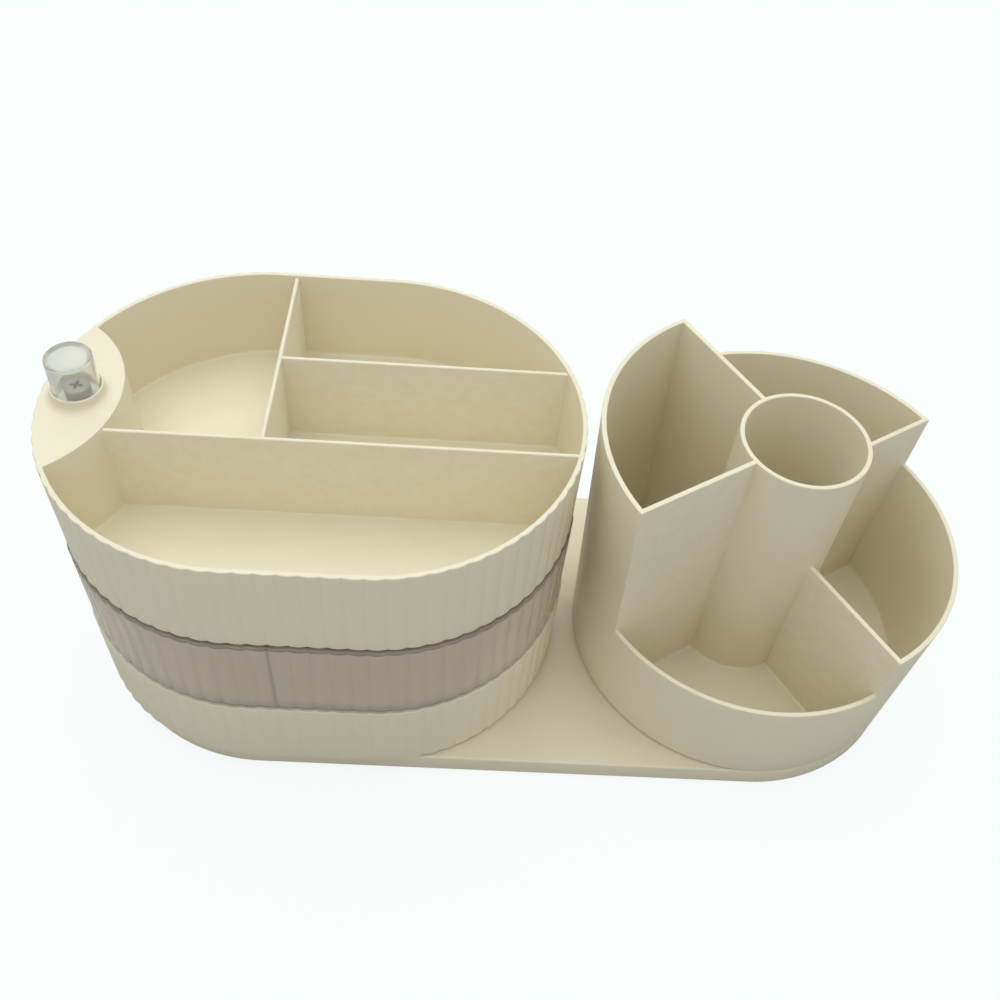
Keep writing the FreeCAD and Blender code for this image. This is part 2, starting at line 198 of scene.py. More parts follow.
def combine(body: bpy.types.Object, part: bpy.types.Object, way: Cut) -> None:
    """Makes a part one with a body, or takes its space out of the body.

    Args:
        body: the object that stays.
        part: the object that is used up.
        way: whether the part is joined or taken out.
    """
    boolean = body.modifiers.new("combine", "BOOLEAN")
    boolean.operation = way.value
    boolean.solver = "EXACT"
    boolean.object = part
    joined = bpy.data.meshes.new_from_object(body.evaluated_get(bpy.context.evaluated_depsgraph_get()))
    body.modifiers.clear()
    old = body.data
    body.data = joined
    body.data.name = old.name + "_combined"
    bpy.data.meshes.remove(old)
    bpy.data.objects.remove(part)
    smooth(joined)


class Surface:
    """Closed surface gathered from rings of points, strips between rings, and flat caps."""

    def __init__(self) -> None:
        """Starts with no points."""
        self.rings: list[np.ndarray] = []
        self.quads: list[np.ndarray] = []
        self.triangles: list[np.ndarray] = []
        self.count = 0

    def ring(self, plan: np.ndarray, height: float) -> np.ndarray:
        """Adds a level closed ring of x and y rows at a height, and returns its points' indices."""
        return self.loop(np.column_stack([plan, np.full(len(plan), height)]))

    def loop(self, points: np.ndarray) -> np.ndarray:
        """Adds a closed ring of points in space.

        Args:
            points: rows of x, y and z.

        Returns:
            The indices of its points.
        """
        self.rings.append(points)
        self.count += len(points)
        return np.arange(self.count - len(points), self.count)

    def strip(self, first: np.ndarray, second: np.ndarray) -> None:
        """Joins two closed rings of equal length with quads."""
        self.quads.append(np.column_stack([first, np.roll(first, -1), np.roll(second, -1), second]))

    def stack(self, rings: Sequence[np.ndarray]) -> None:
        """Joins each ring to the next."""
        for first, second in zip(rings, rings[1:]):
            self.strip(first, second)

    def cap(self, *rings: np.ndarray) -> None:
        """Fills a level region.

        Args:
            rings: indices of its outer ring, then of the rings of its holes.
        """
        points = np.vstack(self.rings)
        order = np.concatenate(rings)
        loops = [[Vector(point) for point in points[ring]] for ring in rings]
        self.triangles.append(order[np.array(tessellate_polygon(loops))])

    def block(self, low: Sequence[float], high: Sequence[float]) -> None:
        """Adds a closed upright block.

        Args:
            low: its lowest corner.
            high: its highest corner.
        """
        plan = np.array([(low[0], low[1]), (high[0], low[1]), (high[0], high[1]), (low[0], high[1])])
        foot, head = self.ring(plan, low[2]), self.ring(plan, high[2])
        self.strip(foot, head)
        self.cap(foot)
        self.cap(head)

    def build(self, name: str) -> bpy.types.Object:
        """Makes the object.

        Args:
            name: name of the object and its mesh.

        Returns:
            The linked object.
        """
        faces = [face for group in self.quads + self.triangles for face in group.tolist()]
        mesh = bpy.data.meshes.new(name)
        mesh.from_pydata(np.vstack(self.rings).tolist(), [], faces)
        return finish_mesh(mesh)


def rounded_profile(corners: Sequence[Triple], steps: int = 5) -> np.ndarray:
    """Closed profile whose corners are rounded.

    Each corner is replaced by points on the quadratic curve that leaves the first side at the corner's
    round before the corner and meets the second side as far after it.

    Args:
        corners: rows of radius, height and round.
        steps: chords in each round.

    Returns:
        Rows of radius and height.
    """
    points = np.array([corner[:2] for corner in corners], float)
    rounds = np.array([corner[2] for corner in corners], float)
    before = np.roll(points, 1, axis=0) - points
    after = np.roll(points, -1, axis=0) - points
    before /= np.linalg.norm(before, axis=1)[:, None]
    after /= np.linalg.norm(after, axis=1)[:, None]
    rows = []
    for point, size, back, ahead in zip(points, rounds, before, after):
        if size == 0:
            rows.append(point[None])
            continue
        share = np.linspace(0, 1, steps + 1)[:, None]
        start, end = point + back * size, point + ahead * size
        rows.append((1 - share) ** 2 * start + 2 * share * (1 - share) * point + share ** 2 * end)
    return np.vstack(rows)


def revolved(name: str, centre_x: float, corners: Sequence[Triple], count: int) -> bpy.types.Object:
    """Closed ring-shaped solid: a profile with rounded corners turned about an upright axis.

    Each profile point becomes a ring of the count, and the last ring joins the first.

    Args:
        name: the piece's name.
        centre_x: x of the axis.
        corners: rows of radius, height and round, in order round the section.
        count: points round the axis.

    Returns:
        The linked object.
    """
    surface = Surface()
    rings = [surface.ring(circle(centre_x, radius, count), height)
             for radius, height in rounded_profile(corners)]
    surface.stack(rings + rings[:1])
    return surface.build(name)


class NodeSheet:
    """Short way to place and join shader nodes in one tree."""

    def __init__(self, tree: bpy.types.NodeTree) -> None:
        """Keeps a material's, a world's or a group's node tree."""
        self.tree = tree

    def fill(self, node: bpy.types.Node, values: Mapping[str | int, object]) -> None:
        """Joins each input to a socket, or sets it to a plain value.

        Args:
            node: whose inputs.
            values: a socket or a value for each input, by the input's name or number.
        """
        for key, value in values.items():
            if isinstance(value, bpy.types.NodeSocket):
                self.tree.links.new(value, node.inputs[key])
            else:
                node.inputs[key].default_value = value

    def add(self, kind: str, values: Mapping[str | int, object] | None = None,
            **settings: object) -> bpy.types.Node:
        """Places a node.

        Args:
            kind: the node's type name.
            values: what goes into its inputs.
            settings: its own properties.

        Returns:
            The node.
        """
        node = self.tree.nodes.new(kind)
        for key, value in settings.items():
            setattr(node, key, value)
        self.fill(node, values or {})
        return node

    def maths(self, operation: str, first: object, second: object = 0.0,
              clamp: bool = False) -> bpy.types.NodeSocket:
        """Places a maths node.

        Args:
            operation: its operation.
            first: a socket or a number.
            second: a socket or a number.
            clamp: keep the result between 0 and 1.

        Returns:
            Its output.
        """
        node = self.add("ShaderNodeMath", {0: first, 1: second}, operation=operation, use_clamp=clamp)
        return node.outputs["Value"]

    def place(self) -> bpy.types.NodeSocket:
        """The point in the object's own coordinates."""
        return self.add("ShaderNodeTexCoord").outputs["Object"]

    def stretched(self, scale: Triple) -> bpy.types.NodeSocket:
        """The point in the object's own coordinates, scaled along each axis."""
        return self.add("ShaderNodeMapping", {"Vector": self.place(), "Scale": scale}).outputs["Vector"]

    def noise(self, place: bpy.types.NodeSocket, scale: float, detail: float,
              roughness: float = 0.5) -> bpy.types.NodeSocket:
        """Places a noise.

        Args:
            place: the coordinates.
            scale: how fine it is.
            detail: number of octaves.
            roughness: how strong the finer octaves are.

        Returns:
            Its value, which lies about NOISE_MIDDLE.
        """
        values = {"Vector": place, "Scale": scale, "Detail": detail, "Roughness": roughness}
        return self.add("ShaderNodeTexNoise", values).outputs["Fac"]

    def mix(self, share: bpy.types.NodeSocket, first: object, second: object,
            way: str = "MIX") -> bpy.types.NodeSocket:
        """Mixes two colours.

        Args:
            share: how much of the second.
            first: a socket or a colour with alpha.
            second: a socket or a colour with alpha.
            way: the blend type.

        Returns:
            The mixed colour.
        """
        values = {"Factor": share, "A": first, "B": second}
        return self.add("ShaderNodeMix", values, data_type="RGBA", blend_type=way).outputs["Result"]

    def bump(self, height: bpy.types.NodeSocket, strength: float, distance: float) -> bpy.types.NodeSocket:
        """Normal tilted by a height at a strength and a distance."""
        return self.add("ShaderNodeBump", {
            "Height": height, "Strength": strength, "Distance": distance}).outputs["Normal"]


def new_group(name: str, inputs: Mapping[str, object],
              outputs: Sequence[str]) -> tuple[NodeSheet, bpy.types.Node, bpy.types.Node]:
    """Makes an empty node group; a socket whose name ends in Color is a colour, the others are numbers.

    Args:
        name: the group's name.
        inputs: the default of each input, by its name.
        outputs: names of its outputs.

    Returns:
        The sheet for its tree, its input node and its output node.
    """
    tree = bpy.data.node_groups.new(name, "ShaderNodeTree")
    for way, labels in (("INPUT", list(inputs)), ("OUTPUT", outputs)):
        for label in labels:
            kind = "NodeSocketColor" if label.endswith("Color") else "NodeSocketFloat"
            socket = tree.interface.new_socket(label, in_out=way, socket_type=kind)
            if way == "INPUT":
                socket.default_value = inputs[label]
    sheet = NodeSheet(tree)
    return sheet, sheet.add("NodeGroupInput"), sheet.add("NodeGroupOutput")


def new_material(name: str) -> tuple[bpy.types.Material, NodeSheet, bpy.types.Node]:
    """Makes a material.

    Args:
        name: its name.

    Returns:
        The material, the sheet for its tree and its Principled shader.
    """
    material = bpy.data.materials.new(name)
    material.use_nodes = True
    return material, NodeSheet(material.node_tree), material.node_tree.nodes["Principled BSDF"]


def mix_shaders(sheet: NodeSheet, share: bpy.types.NodeSocket, first: bpy.types.NodeSocket,
                second: bpy.types.NodeSocket) -> None:
    """Leads a mix of two shaders into the material's surface.

    Args:
        sheet: the material's sheet.
        share: how much of the second.
        first: a shader.
        second: a shader.
    """
    mixed = sheet.add("ShaderNodeMixShader", {"Fac": share, 1: first, 2: second})
    sheet.fill(sheet.tree.nodes["Material Output"], {"Surface": mixed.outputs["Shader"]})


def moulded_surface_group() -> bpy.types.NodeTree:
    """Surface of moulded plastic: slow tint change, fine grain, flow lines and uneven gloss.

    The tint mixes the colour with a darker one by a slow noise. The grain is a fine noise and the flow
    lines are a noise stretched upright. The gloss is the roughness plus a share of a middle noise.

    Returns:
        The group, with outputs Color, Roughness and Height.
    """
    sheet, source, result = new_group("moulded_surface", {
        "Color": GROUP_COLOR, "Tint Change": 0.04, "Roughness": GROUP_ROUGHNESS,
        "Roughness Change": 0.1, "Grain": 0.3, "Flow": 0.5,
    }, ["Color", "Roughness", "Height"])
    darker = (0.55, 0.48, 0.38, 1)
    upright = (1, 1, 0.06)
    given = source.outputs
    place = sheet.place()
    slow = sheet.noise(place, scale=22, detail=3)
    middle = sheet.noise(place, scale=160, detail=4)
    grain = sheet.noise(place, scale=2600, detail=2)
    flow = sheet.noise(sheet.stretched(upright), scale=130, detail=2)
    tint = sheet.maths("MULTIPLY", slow, given["Tint Change"])
    spread = sheet.maths("MULTIPLY", sheet.maths("SUBTRACT", middle, NOISE_MIDDLE), given["Roughness Change"])
    fine = sheet.maths("MULTIPLY", grain, given["Grain"])
    lines = sheet.maths("MULTIPLY", flow, given["Flow"])
    sheet.fill(result, {
        "Color": sheet.mix(tint, given["Color"], darker, "MULTIPLY"),
        "Roughness": sheet.maths("ADD", given["Roughness"], spread, clamp=True),
        "Height": sheet.maths("ADD", fine, lines),
    })
    return sheet.tree


def lay_coat(sheet: NodeSheet, given: bpy.types.NodeOutputs, result: bpy.types.Node,
             mask: bpy.types.NodeSocket, color: object, dulling: float) -> None:
    """Leads the colour and roughness that come in to the result, changed where a coat lies.

    Args:
        sheet: the group's sheet.
        given: the outputs of the group's input node.
        result: the group's output node.
        mask: where the coat lies, from 0 to 1.
        color: the coat's colour, a socket or a value.
        dulling: roughness that a full coat adds.
    """
    duller = sheet.maths("MULTIPLY", mask, dulling)
    sheet.fill(result, {
        "Color": sheet.mix(mask, given["Color"], color),
        "Roughness": sheet.maths("ADD", given["Roughness"], duller, clamp=True),
    })


def worn_edge_group() -> bpy.types.NodeTree:
    """Edges rubbed paler and duller by handling.

    The mask is how far the surface's pointedness stands above flat, broken up by a noise.

    Returns:
        The group, with outputs Color and Roughness.
    """
    sheet, source, result = new_group("worn_edge", {
        "Color": GROUP_COLOR, "Worn Color": (0.95, 0.92, 0.85, 1), "Roughness": GROUP_ROUGHNESS, "Wear": 0.4,
    }, ["Color", "Roughness"])
    flat, edge_gain = 0.505, 12
    patch_start, patch_gain = 0.35, 3
    given = source.outputs
    pointed = sheet.add("ShaderNodeNewGeometry").outputs["Pointiness"]
    steep = sheet.maths("MULTIPLY", sheet.maths("SUBTRACT", pointed, flat), edge_gain, clamp=True)
    patches = sheet.maths("SUBTRACT", sheet.noise(sheet.place(), scale=240, detail=4), patch_start)
    broken = sheet.maths("MULTIPLY", patches, patch_gain, clamp=True)
    mask = sheet.maths("MULTIPLY", sheet.maths("MULTIPLY", steep, broken), given["Wear"], clamp=True)
    lay_coat(sheet, given, result, mask, given["Worn Color"], dulling=0.25)
    return sheet.tree


def dust_group() -> bpy.types.NodeTree:
    """Thin dust on faces that look up, in soft patches.

    The mask is the upward part of the normal to the fourth power, times a noise above its middle.

    Returns:
        The group, with outputs Color and Roughness.
    """
    sheet, source, result = new_group("settled_dust", {
        "Color": GROUP_COLOR, "Roughness": GROUP_ROUGHNESS, "Dust": 0.1,
    }, ["Color", "Roughness"])
    grey = (0.62, 0.60, 0.56, 1)
    fall_off = 4
    patch_start, patch_gain = 0.4, 2.5
    given = source.outputs
    normal = sheet.add("ShaderNodeNewGeometry").outputs["Normal"]
    split = sheet.add("ShaderNodeSeparateXYZ", {"Vector": normal})
    upward = sheet.maths("POWER", sheet.maths("MAXIMUM", split.outputs["Z"], 0.0), fall_off)
    patches = sheet.noise(sheet.place(), scale=60, detail=6, roughness=0.65)
    soft = sheet.maths("MULTIPLY", sheet.maths("SUBTRACT", patches, patch_start), patch_gain, clamp=True)
    mask = sheet.maths("MULTIPLY", sheet.maths("MULTIPLY", upward, soft), given["Dust"], clamp=True)
    lay_coat(sheet, given, result, mask, grey, dulling=0.8)
    return sheet.tree


@dataclass(frozen=True)
class SharedEffects:
    """Node groups that several finishes use, each built once."""

    surface: bpy.types.NodeTree
    edges: bpy.types.NodeTree
    dust: bpy.types.NodeTree


@dataclass(frozen=True)
class PlasticFinish:
    """Opaque moulded plastic."""

    name: str
    color: Triple
    roughness: float = 0.36
    tint_change: float = 0.06
    roughness_change: float = 0.10
    grain: float = 0.25
    flow: float = 0.5
    ior: float = 1.5
    bump: float = 0.12
    bump_reach: float = 0.15 * MM
    worn_color: Triple = (0.93, 0.89, 0.79)
    wear: float = 0.35
    dust: float = 0.12

    def material(self, effects: SharedEffects) -> bpy.types.Material:
        """Builds the material: moulded surface, then worn edges, then dust.

        Args:
            effects: the shared node groups.

        Returns:
            The material.
        """
        material, sheet, shader = new_material(self.name)
        surface = sheet.add("ShaderNodeGroup", {
            "Color": (*self.color, 1), "Tint Change": self.tint_change, "Roughness": self.roughness,
            "Roughness Change": self.roughness_change, "Grain": self.grain, "Flow": self.flow,
        }, node_tree=effects.surface)
        edges = sheet.add("ShaderNodeGroup", {
            "Color": surface.outputs["Color"], "Roughness": surface.outputs["Roughness"],
            "Worn Color": (*self.worn_color, 1), "Wear": self.wear,
        }, node_tree=effects.edges)
        dust = sheet.add("ShaderNodeGroup", {
            "Color": edges.outputs["Color"], "Roughness": edges.outputs["Roughness"], "Dust": self.dust,
        }, node_tree=effects.dust)
        sheet.fill(shader, {
            "Base Color": dust.outputs["Color"], "Roughness": dust.outputs["Roughness"], "IOR": self.ior,
            "Normal": sheet.bump(surface.outputs["Height"], self.bump, self.bump_reach),
        })
        return material


@dataclass(frozen=True)
class ClearFinish:
    """Clear moulded plastic."""

    name: str
    color: Triple
    roughness: float = 0.1
    ior: float = 1.42
    clarity: float = 1.0
    bump: float = 0.05
    bump_reach: float = 0.3 * MM
    ripple: float = 90
    frost: float = 0.0
    frost_height: float = 1.0
    # painted shade: outside the unshaded heights the colour is darker by this share
    painted_edge_shade: float = 1.0
    unshaded_heights: Pair = (-1.0, 1.0)

    def material(self) -> bpy.types.Material:
        """Builds the material, with slow ripples from the mould.

        Shadow rays pass it tinted, by the root of the colour at each of a wall's two faces, so that what
        stands behind it is lit as through real clear plastic. The roughness is a fine noise, plus the frost
        above its height. Outside the unshaded heights, at the rim and the foot, shade is painted into the
        colour: it is darker there by the edge shade, as painted shade for the wall seen through its whole
        thickness and for the dark gaps between the trays.

        Returns:
            The material.
        """
        material, sheet, shader = new_material(self.name)
        place = sheet.place()
        height = sheet.add("ShaderNodeSeparateXYZ", {"Vector": place}).outputs["Z"]
        frosted = sheet.maths("MULTIPLY", sheet.maths("GREATER_THAN", height, self.frost_height), self.frost)
        scuffs = sheet.noise(place, scale=420, detail=6)
        dull = sheet.maths("MULTIPLY", scuffs, self.roughness / NOISE_MIDDLE)
        ripples = sheet.noise(place, scale=self.ripple, detail=2)
        sheet.fill(shader, {
            "Base Color": (*self.color, 1), "IOR": self.ior, "Transmission Weight": self.clarity,
            "Roughness": sheet.maths("ADD", frosted, dull, clamp=True),
            "Normal": sheet.bump(ripples, self.bump, self.bump_reach),
        })
        # painted shade: the base colour at the rim and the foot is darkened
        if self.painted_edge_shade < 1:
            low, high = self.unshaded_heights
            ends = sheet.maths("LESS_THAN", height, low), sheet.maths("GREATER_THAN", height, high)
            painted_shade_color = (*(self.painted_edge_shade * part for part in self.color), 1)
            tint = sheet.mix(sheet.maths("ADD", *ends), (*self.color, 1), painted_shade_color)
            sheet.fill(shader, {"Base Color": tint})
        passing = sheet.add("ShaderNodeBsdfTransparent", {"Color": (*map(math.sqrt, self.color), 1)})
        shadow = sheet.add("ShaderNodeLightPath").outputs["Is Shadow Ray"]
        mix_shaders(sheet, shadow, shader.outputs["BSDF"], passing.outputs["BSDF"])
        return material


@dataclass(frozen=True)
class MetalFinish:
    """Bare or plated metal with turning marks round an upright axis."""

    name: str
    color: Triple
    roughness: float
    roughness_change: float = 0.25
    scratch_scale: float = 900
    squeeze: Triple = (0.1, 0.1, 1.0)
    bump: float = 0.1
    bump_reach: float = 0.02 * MM

    def material(self) -> bpy.types.Material:
        """Builds the material; the marks are a noise squeezed along Z.

        Returns:
            The material.
        """
        material, sheet, shader = new_material(self.name)
        marks = sheet.noise(sheet.stretched(self.squeeze), scale=self.scratch_scale, detail=3)
        centred = sheet.maths("SUBTRACT", marks, NOISE_MIDDLE)
        spread = sheet.maths("MULTIPLY", centred, self.roughness_change)
        sheet.fill(shader, {
            "Base Color": (*self.color, 1), "Metallic": 1.0,
            "Roughness": sheet.maths("ADD", spread, self.roughness, clamp=True),
            "Normal": sheet.bump(marks, self.bump, self.bump_reach),
        })
        return material


class Finishes:
    """The organizer's materials, by the record's slot names."""

    def __init__(self) -> None:
        """Builds each material once."""
        effects = SharedEffects(moulded_surface_group(), worn_edge_group(), dust_group())
        tray_foot, tray_rim = (corner.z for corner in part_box("middle_tray"))
        plastics = (
            PlasticFinish("cream_plastic", (0.865, 0.785, 0.605)),
            PlasticFinish("washer_plastic", (0.82, 0.82, 0.80), roughness=0.45, flow=0.1,
                          worn_color=(0.9, 0.9, 0.88)),
            PlasticFinish("foot_rubber", (0.035, 0.035, 0.036), roughness=0.8, grain=0.9, bump=0.3,
                          flow=0.0, worn_color=(0.09, 0.09, 0.09)),
        )
        clears = (
            # clear tray: painted shade at half brightness, 1.4 mm under the rim and 0.9 mm over the foot
            ClearFinish("clear_plastic", (0.99, 0.885, 0.745), clarity=0.6, painted_edge_shade=0.5,
                        unshaded_heights=(tray_foot + 0.9 * MM, tray_rim - 1.4 * MM)),
            ClearFinish("cap_clear", (0.97, 0.965, 0.935), clarity=0.84, frost=0.4,
                        frost_height=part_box("pivot_cap")[1].z - 0.05 * MM),
        )
        metals = (
            MetalFinish("rod_steel", (0.62, 0.62, 0.63), 0.28),
            MetalFinish("zinc_steel", (0.55, 0.56, 0.57), 0.42),
            MetalFinish("dark_screw", (0.27, 0.265, 0.25), 0.45),
        )
        self.by_slot = {finish.name: finish.material(effects) for finish in plastics}
        self.by_slot |= {finish.name: finish.material() for finish in clears + metals}

    def dress_nodes(self) -> None:
        """Gives every carried-over CAD node the material of its slot."""
        slots = {part["node"]: part["material_slot"] for part in frame["record"]["subparts"]}
        for name, node in frame["nodes"].items():
            node.data.materials.clear()
            node.data.materials.append(self.by_slot[slots[name]])

    def dress(self, piece: bpy.types.Object, body: Body, slot: str, replaced: Sequence[str] = ()) -> None:
        """Gives a piece the material of its slot and puts it on its body; the CAD nodes that it stands for are
        hidden.

        Args:
            piece: the new piece.
            body: the body that it rides on.
            slot: the record's material slot.
            replaced: the nodes that it stands for.
        """
        piece.data.materials.append(self.by_slot[slot])
        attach(piece, body.value)
        if replaced:
            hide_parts(*replaced)
        LOG.info("%s: %d faces on %s", piece.name, len(piece.data.polygons), body.value)


@dataclass
class TrayShape:
    """Sizes that the three trays share; the radius and the middle come from the middle tray's box."""

    straight: float = 42.5 * MM
    wall: float = 1.9 * MM
    floor: float = 1.8 * MM
    outer_draft: float = 0.6 * MM
    inner_draft: float = 0.5 * MM
    flute_count: int = 82
    flute_depth: float = 0.45 * MM
    flute_samples: int = 12
    rim_round: float = 0.45 * MM
    inner_round: float = 0.35 * MM
    floor_round: float = 1.3 * MM
    foot_round: float = 0.6 * MM
    hold: float = 0.06 * MM
    round_steps: int = 5
    column_radius: float = 43.0 * MM
    column_reach: float = 14.2 * MM
    column_wall: float = 1.8 * MM
    column_top: float = 2.0 * MM
    column_points: int = 61
    corner_points: int = 60
    end_points: int = 140
    side_points: int = 30
    pocket_points: int = 40
    sleeve_radius: float = 6.6 * MM
    rib: float = 1.4 * MM
    rib_reach: float = 1.5
    bore: float = 4.05 * MM
    bore_sides: int = 64
    divider_top: float = 1.5 * MM
    divider_foot: float = 1.9 * MM
    divider_drop: float = 1.0 * MM
    divider_fillet: float = 0.7 * MM
    divider_crest: float = 0.8
    wall_grip: float = 0.6
    column_grip: float = 3 * MM
    middle_cross_x: float = -10.5 * MM
    top_cross_x: float = -16.4 * MM
    long_y: float = -15 * MM
    short_y: float = 25 * MM
    radius: float = field(init=False)
    centre_x: float = field(init=False)

    def __post_init__(self) -> None:
        """Reads the radius and the middle from the middle tray's box."""
        low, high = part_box("middle_tray")
        self.radius = (high.y - low.y) / 2
        self.centre_x = (low.x + high.x) / 2


class Tray:
    """One tray moulding: fluted outer wall, smooth inside, dividers and the hollow pivot column."""

    above_rim = 0.0

    def __init__(self, shape: TrayShape, body: Body, dividers: Dividers) -> None:
        """Keeps the tray's sizes.

        Args:
            shape: the shared sizes.
            body: its body, whose name is its node's.
            dividers: how it is divided.
        """
        self.shape = shape
        self.body = body
        self.dividers = dividers
        low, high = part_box(body.value)
        self.bottom = low.z
        self.rim = high.z - self.above_rim
        self.floor = self.bottom + shape.floor

    def outline_frame(self) -> tuple[np.ndarray, np.ndarray, np.ndarray]:
        """Skeleton point, outward direction and flute depth share for each point round the tray.

        A distance s runs round the stadium from its left pole, clockwise seen from below. On the ends the
        skeleton point is the end's centre and the direction turns with s over the radius; on the sides the
        skeleton point moves along the middle line. The depth share is the square of the place across a
        flute, from -1 to 1, so that it is 0 on the crest and 1 in the valley.

        Returns:
            Skeleton points, directions, and depth shares.
        """
        shape = self.shape
        count = shape.flute_count * shape.flute_samples
        quarter = math.pi * shape.radius / 2
        perimeter = 4 * quarter + 2 * shape.straight
        place = np.arange(count) / shape.flute_samples
        distance = place * perimeter / shape.flute_count
        left = distance < quarter
        front = (distance >= quarter) & (distance < quarter + shape.straight)
        right = (distance >= quarter + shape.straight) & (distance < 3 * quarter + shape.straight)
        back = (distance >= 3 * quarter + shape.straight) & (distance < perimeter - quarter)
        last = distance >= perimeter - quarter
        angle = math.pi + distance / shape.radius
        angle = np.where(front, 1.5 * math.pi, angle)
        angle = np.where(right, 1.5 * math.pi + (distance - quarter - shape.straight) / shape.radius, angle)
        angle = np.where(back, 2.5 * math.pi, angle)
        angle = np.where(last, 2.5 * math.pi + (distance - perimeter + quarter) / shape.radius, angle)
        half = shape.straight / 2
        x = np.full(count, -half)
        x = np.where(front, -half + distance - quarter, x)
        x = np.where(right, half, x)
        x = np.where(back, half - (distance - 3 * quarter - shape.straight), x)
        x = np.where(left | last, -half, x)
        across = 2 * (place % 1.0) - 1
        return np.column_stack([shape.centre_x + x, np.zeros(count)]), around(angle), across ** 2

    def outer_plan(self, inset: float, height: float) -> np.ndarray:
        """Fluted outline of the outside, which leans outwards by the draft.

        Args:
            inset: how far the outline is moved inwards.
            height: its z.

        Returns:
            The points as rows of x and y.
        """
        shape = self.shape
        skeleton, direction, share = self.outline_frame()
        rise = (height - self.bottom) / (self.rim - self.bottom)
        reach = shape.radius - shape.outer_draft * (1 - rise) - shape.flute_depth * share - inset
        return skeleton + direction * reach[:, None]

    def room_plan(self, grow: float) -> np.ndarray:
        """Outline of the space inside: the smooth wall, and the face of the pivot column at the left end.

        The wall is the stadium of the inner radius plus the growth. The column's face is a circle of the
        column's radius less the growth. They meet where the two circles cross, at
        x = (d^2 + a^2 - b^2) / 2d from the column's centre, d being the distance between the centres.

        Args:
            grow: how far the outline lies outside the inner wall.

        Returns:
            The points, the same number for every growth.
        """
        shape = self.shape
        wall = shape.radius - shape.wall + grow
        column = shape.column_radius - grow
        half = shape.straight / 2
        left_x, right_x = shape.centre_x - half, shape.centre_x + half
        column_x = PIVOT_X + shape.column_reach - shape.column_radius
        apart = left_x - column_x
        cross = (apart ** 2 + column ** 2 - wall ** 2) / (2 * apart)
        column_angle = math.acos(cross / column)
        wall_angle = math.acos((cross - apart) / wall)
        face = column * around(np.linspace(-column_angle, column_angle, shape.column_points)) + (column_x, 0)
        back_left = wall * around(np.linspace(wall_angle, RIGHT_ANGLE, shape.corner_points)) + (left_x, 0)
        right_end = wall * around(np.linspace(RIGHT_ANGLE, -RIGHT_ANGLE, shape.end_points)) + (right_x, 0)
        front_left = back_left[::-1] * (1, -1)
        middle = np.linspace(left_x, right_x, shape.side_points)[1:-1]
        back_side = np.column_stack([middle, np.full(len(middle), wall)])
        front_side = back_side[::-1] * (1, -1)
        return np.vstack([face, back_left[1:], back_side, right_end, front_side, front_left[:-1]])

    def pocket_plans(self) -> list[np.ndarray]:
        """Outlines of the four hollows under the column, between its ribs.

        Seen from the pivot at an angle t, a hollow ends where the ray meets the column's inner face or
        the tray's inner wall, whichever is nearer: for a circle of radius b whose centre lies at c along X,
        that is c cos t + sqrt(b^2 - c^2 sin^2 t).

        Returns:
            One closed outline for each hollow.
        """
        shape = self.shape
        half = shape.rib / 2
        edge = math.asin(half / (shape.sleeve_radius * shape.rib_reach))
        circles = (
            (shape.column_reach - shape.column_radius, shape.column_radius - shape.column_wall),
            (shape.centre_x - shape.straight / 2 - PIVOT_X, shape.radius - shape.outer_draft - shape.wall),
        )
        plans = []
        for first in np.arange(4) * RIGHT_ANGLE:
            turn = np.linspace(first + edge, first + RIGHT_ANGLE - edge, shape.pocket_points)
            rays = [centre * np.cos(turn) + np.sqrt(radius ** 2 - (centre * np.sin(turn)) ** 2)
                    for centre, radius in circles]
            far = np.minimum(*rays)[:, None] * around(turn)
            near = shape.sleeve_radius * around(turn)
            plan = np.vstack([far, near[::-1]])
            along, side = np.cos(first), np.sin(first)
            u = np.maximum(plan @ (along, side), half)
            v = np.maximum(plan @ (-side, along), half)
            plan = np.column_stack([u * along - v * side, u * side + v * along])
            plans.append(plan + (PIVOT_X, 0))
        return plans

    def mouth(self, surface: Surface) -> list[np.ndarray]:
        """Rings at the pivot, from the rod's bore under the tray to the platform's face.

        Args:
            surface: the surface that they go into.

        Returns:
            The rings in order.
        """
        shape = self.shape
        profile = [(shape.bore, self.bottom), (shape.bore, self.rim - shape.inner_round)]
        lip = quarter_round(shape.inner_round, shape.round_steps)
        profile += [(shape.bore + out, self.rim - down) for out, down in lip[-2::-1]]
        return [surface.ring(circle(PIVOT_X, radius, shape.bore_sides), height) for radius, height in profile]

    def shell(self) -> bpy.types.Object:
        """Builds the moulding without its dividers: outside, inside, pivot and the hollows under it.

        Returns:
            The linked object.
        """
        shape = self.shape
        surface = Surface()
        steps = shape.round_steps

        def outside(inset: float, height: float) -> np.ndarray:
            """Ring of the outside at a height."""
            return surface.ring(self.outer_plan(inset, height), height)

        def inside(grow: float, height: float) -> np.ndarray:
            """Ring of the inside at a height."""
            return surface.ring(self.room_plan(grow), height)

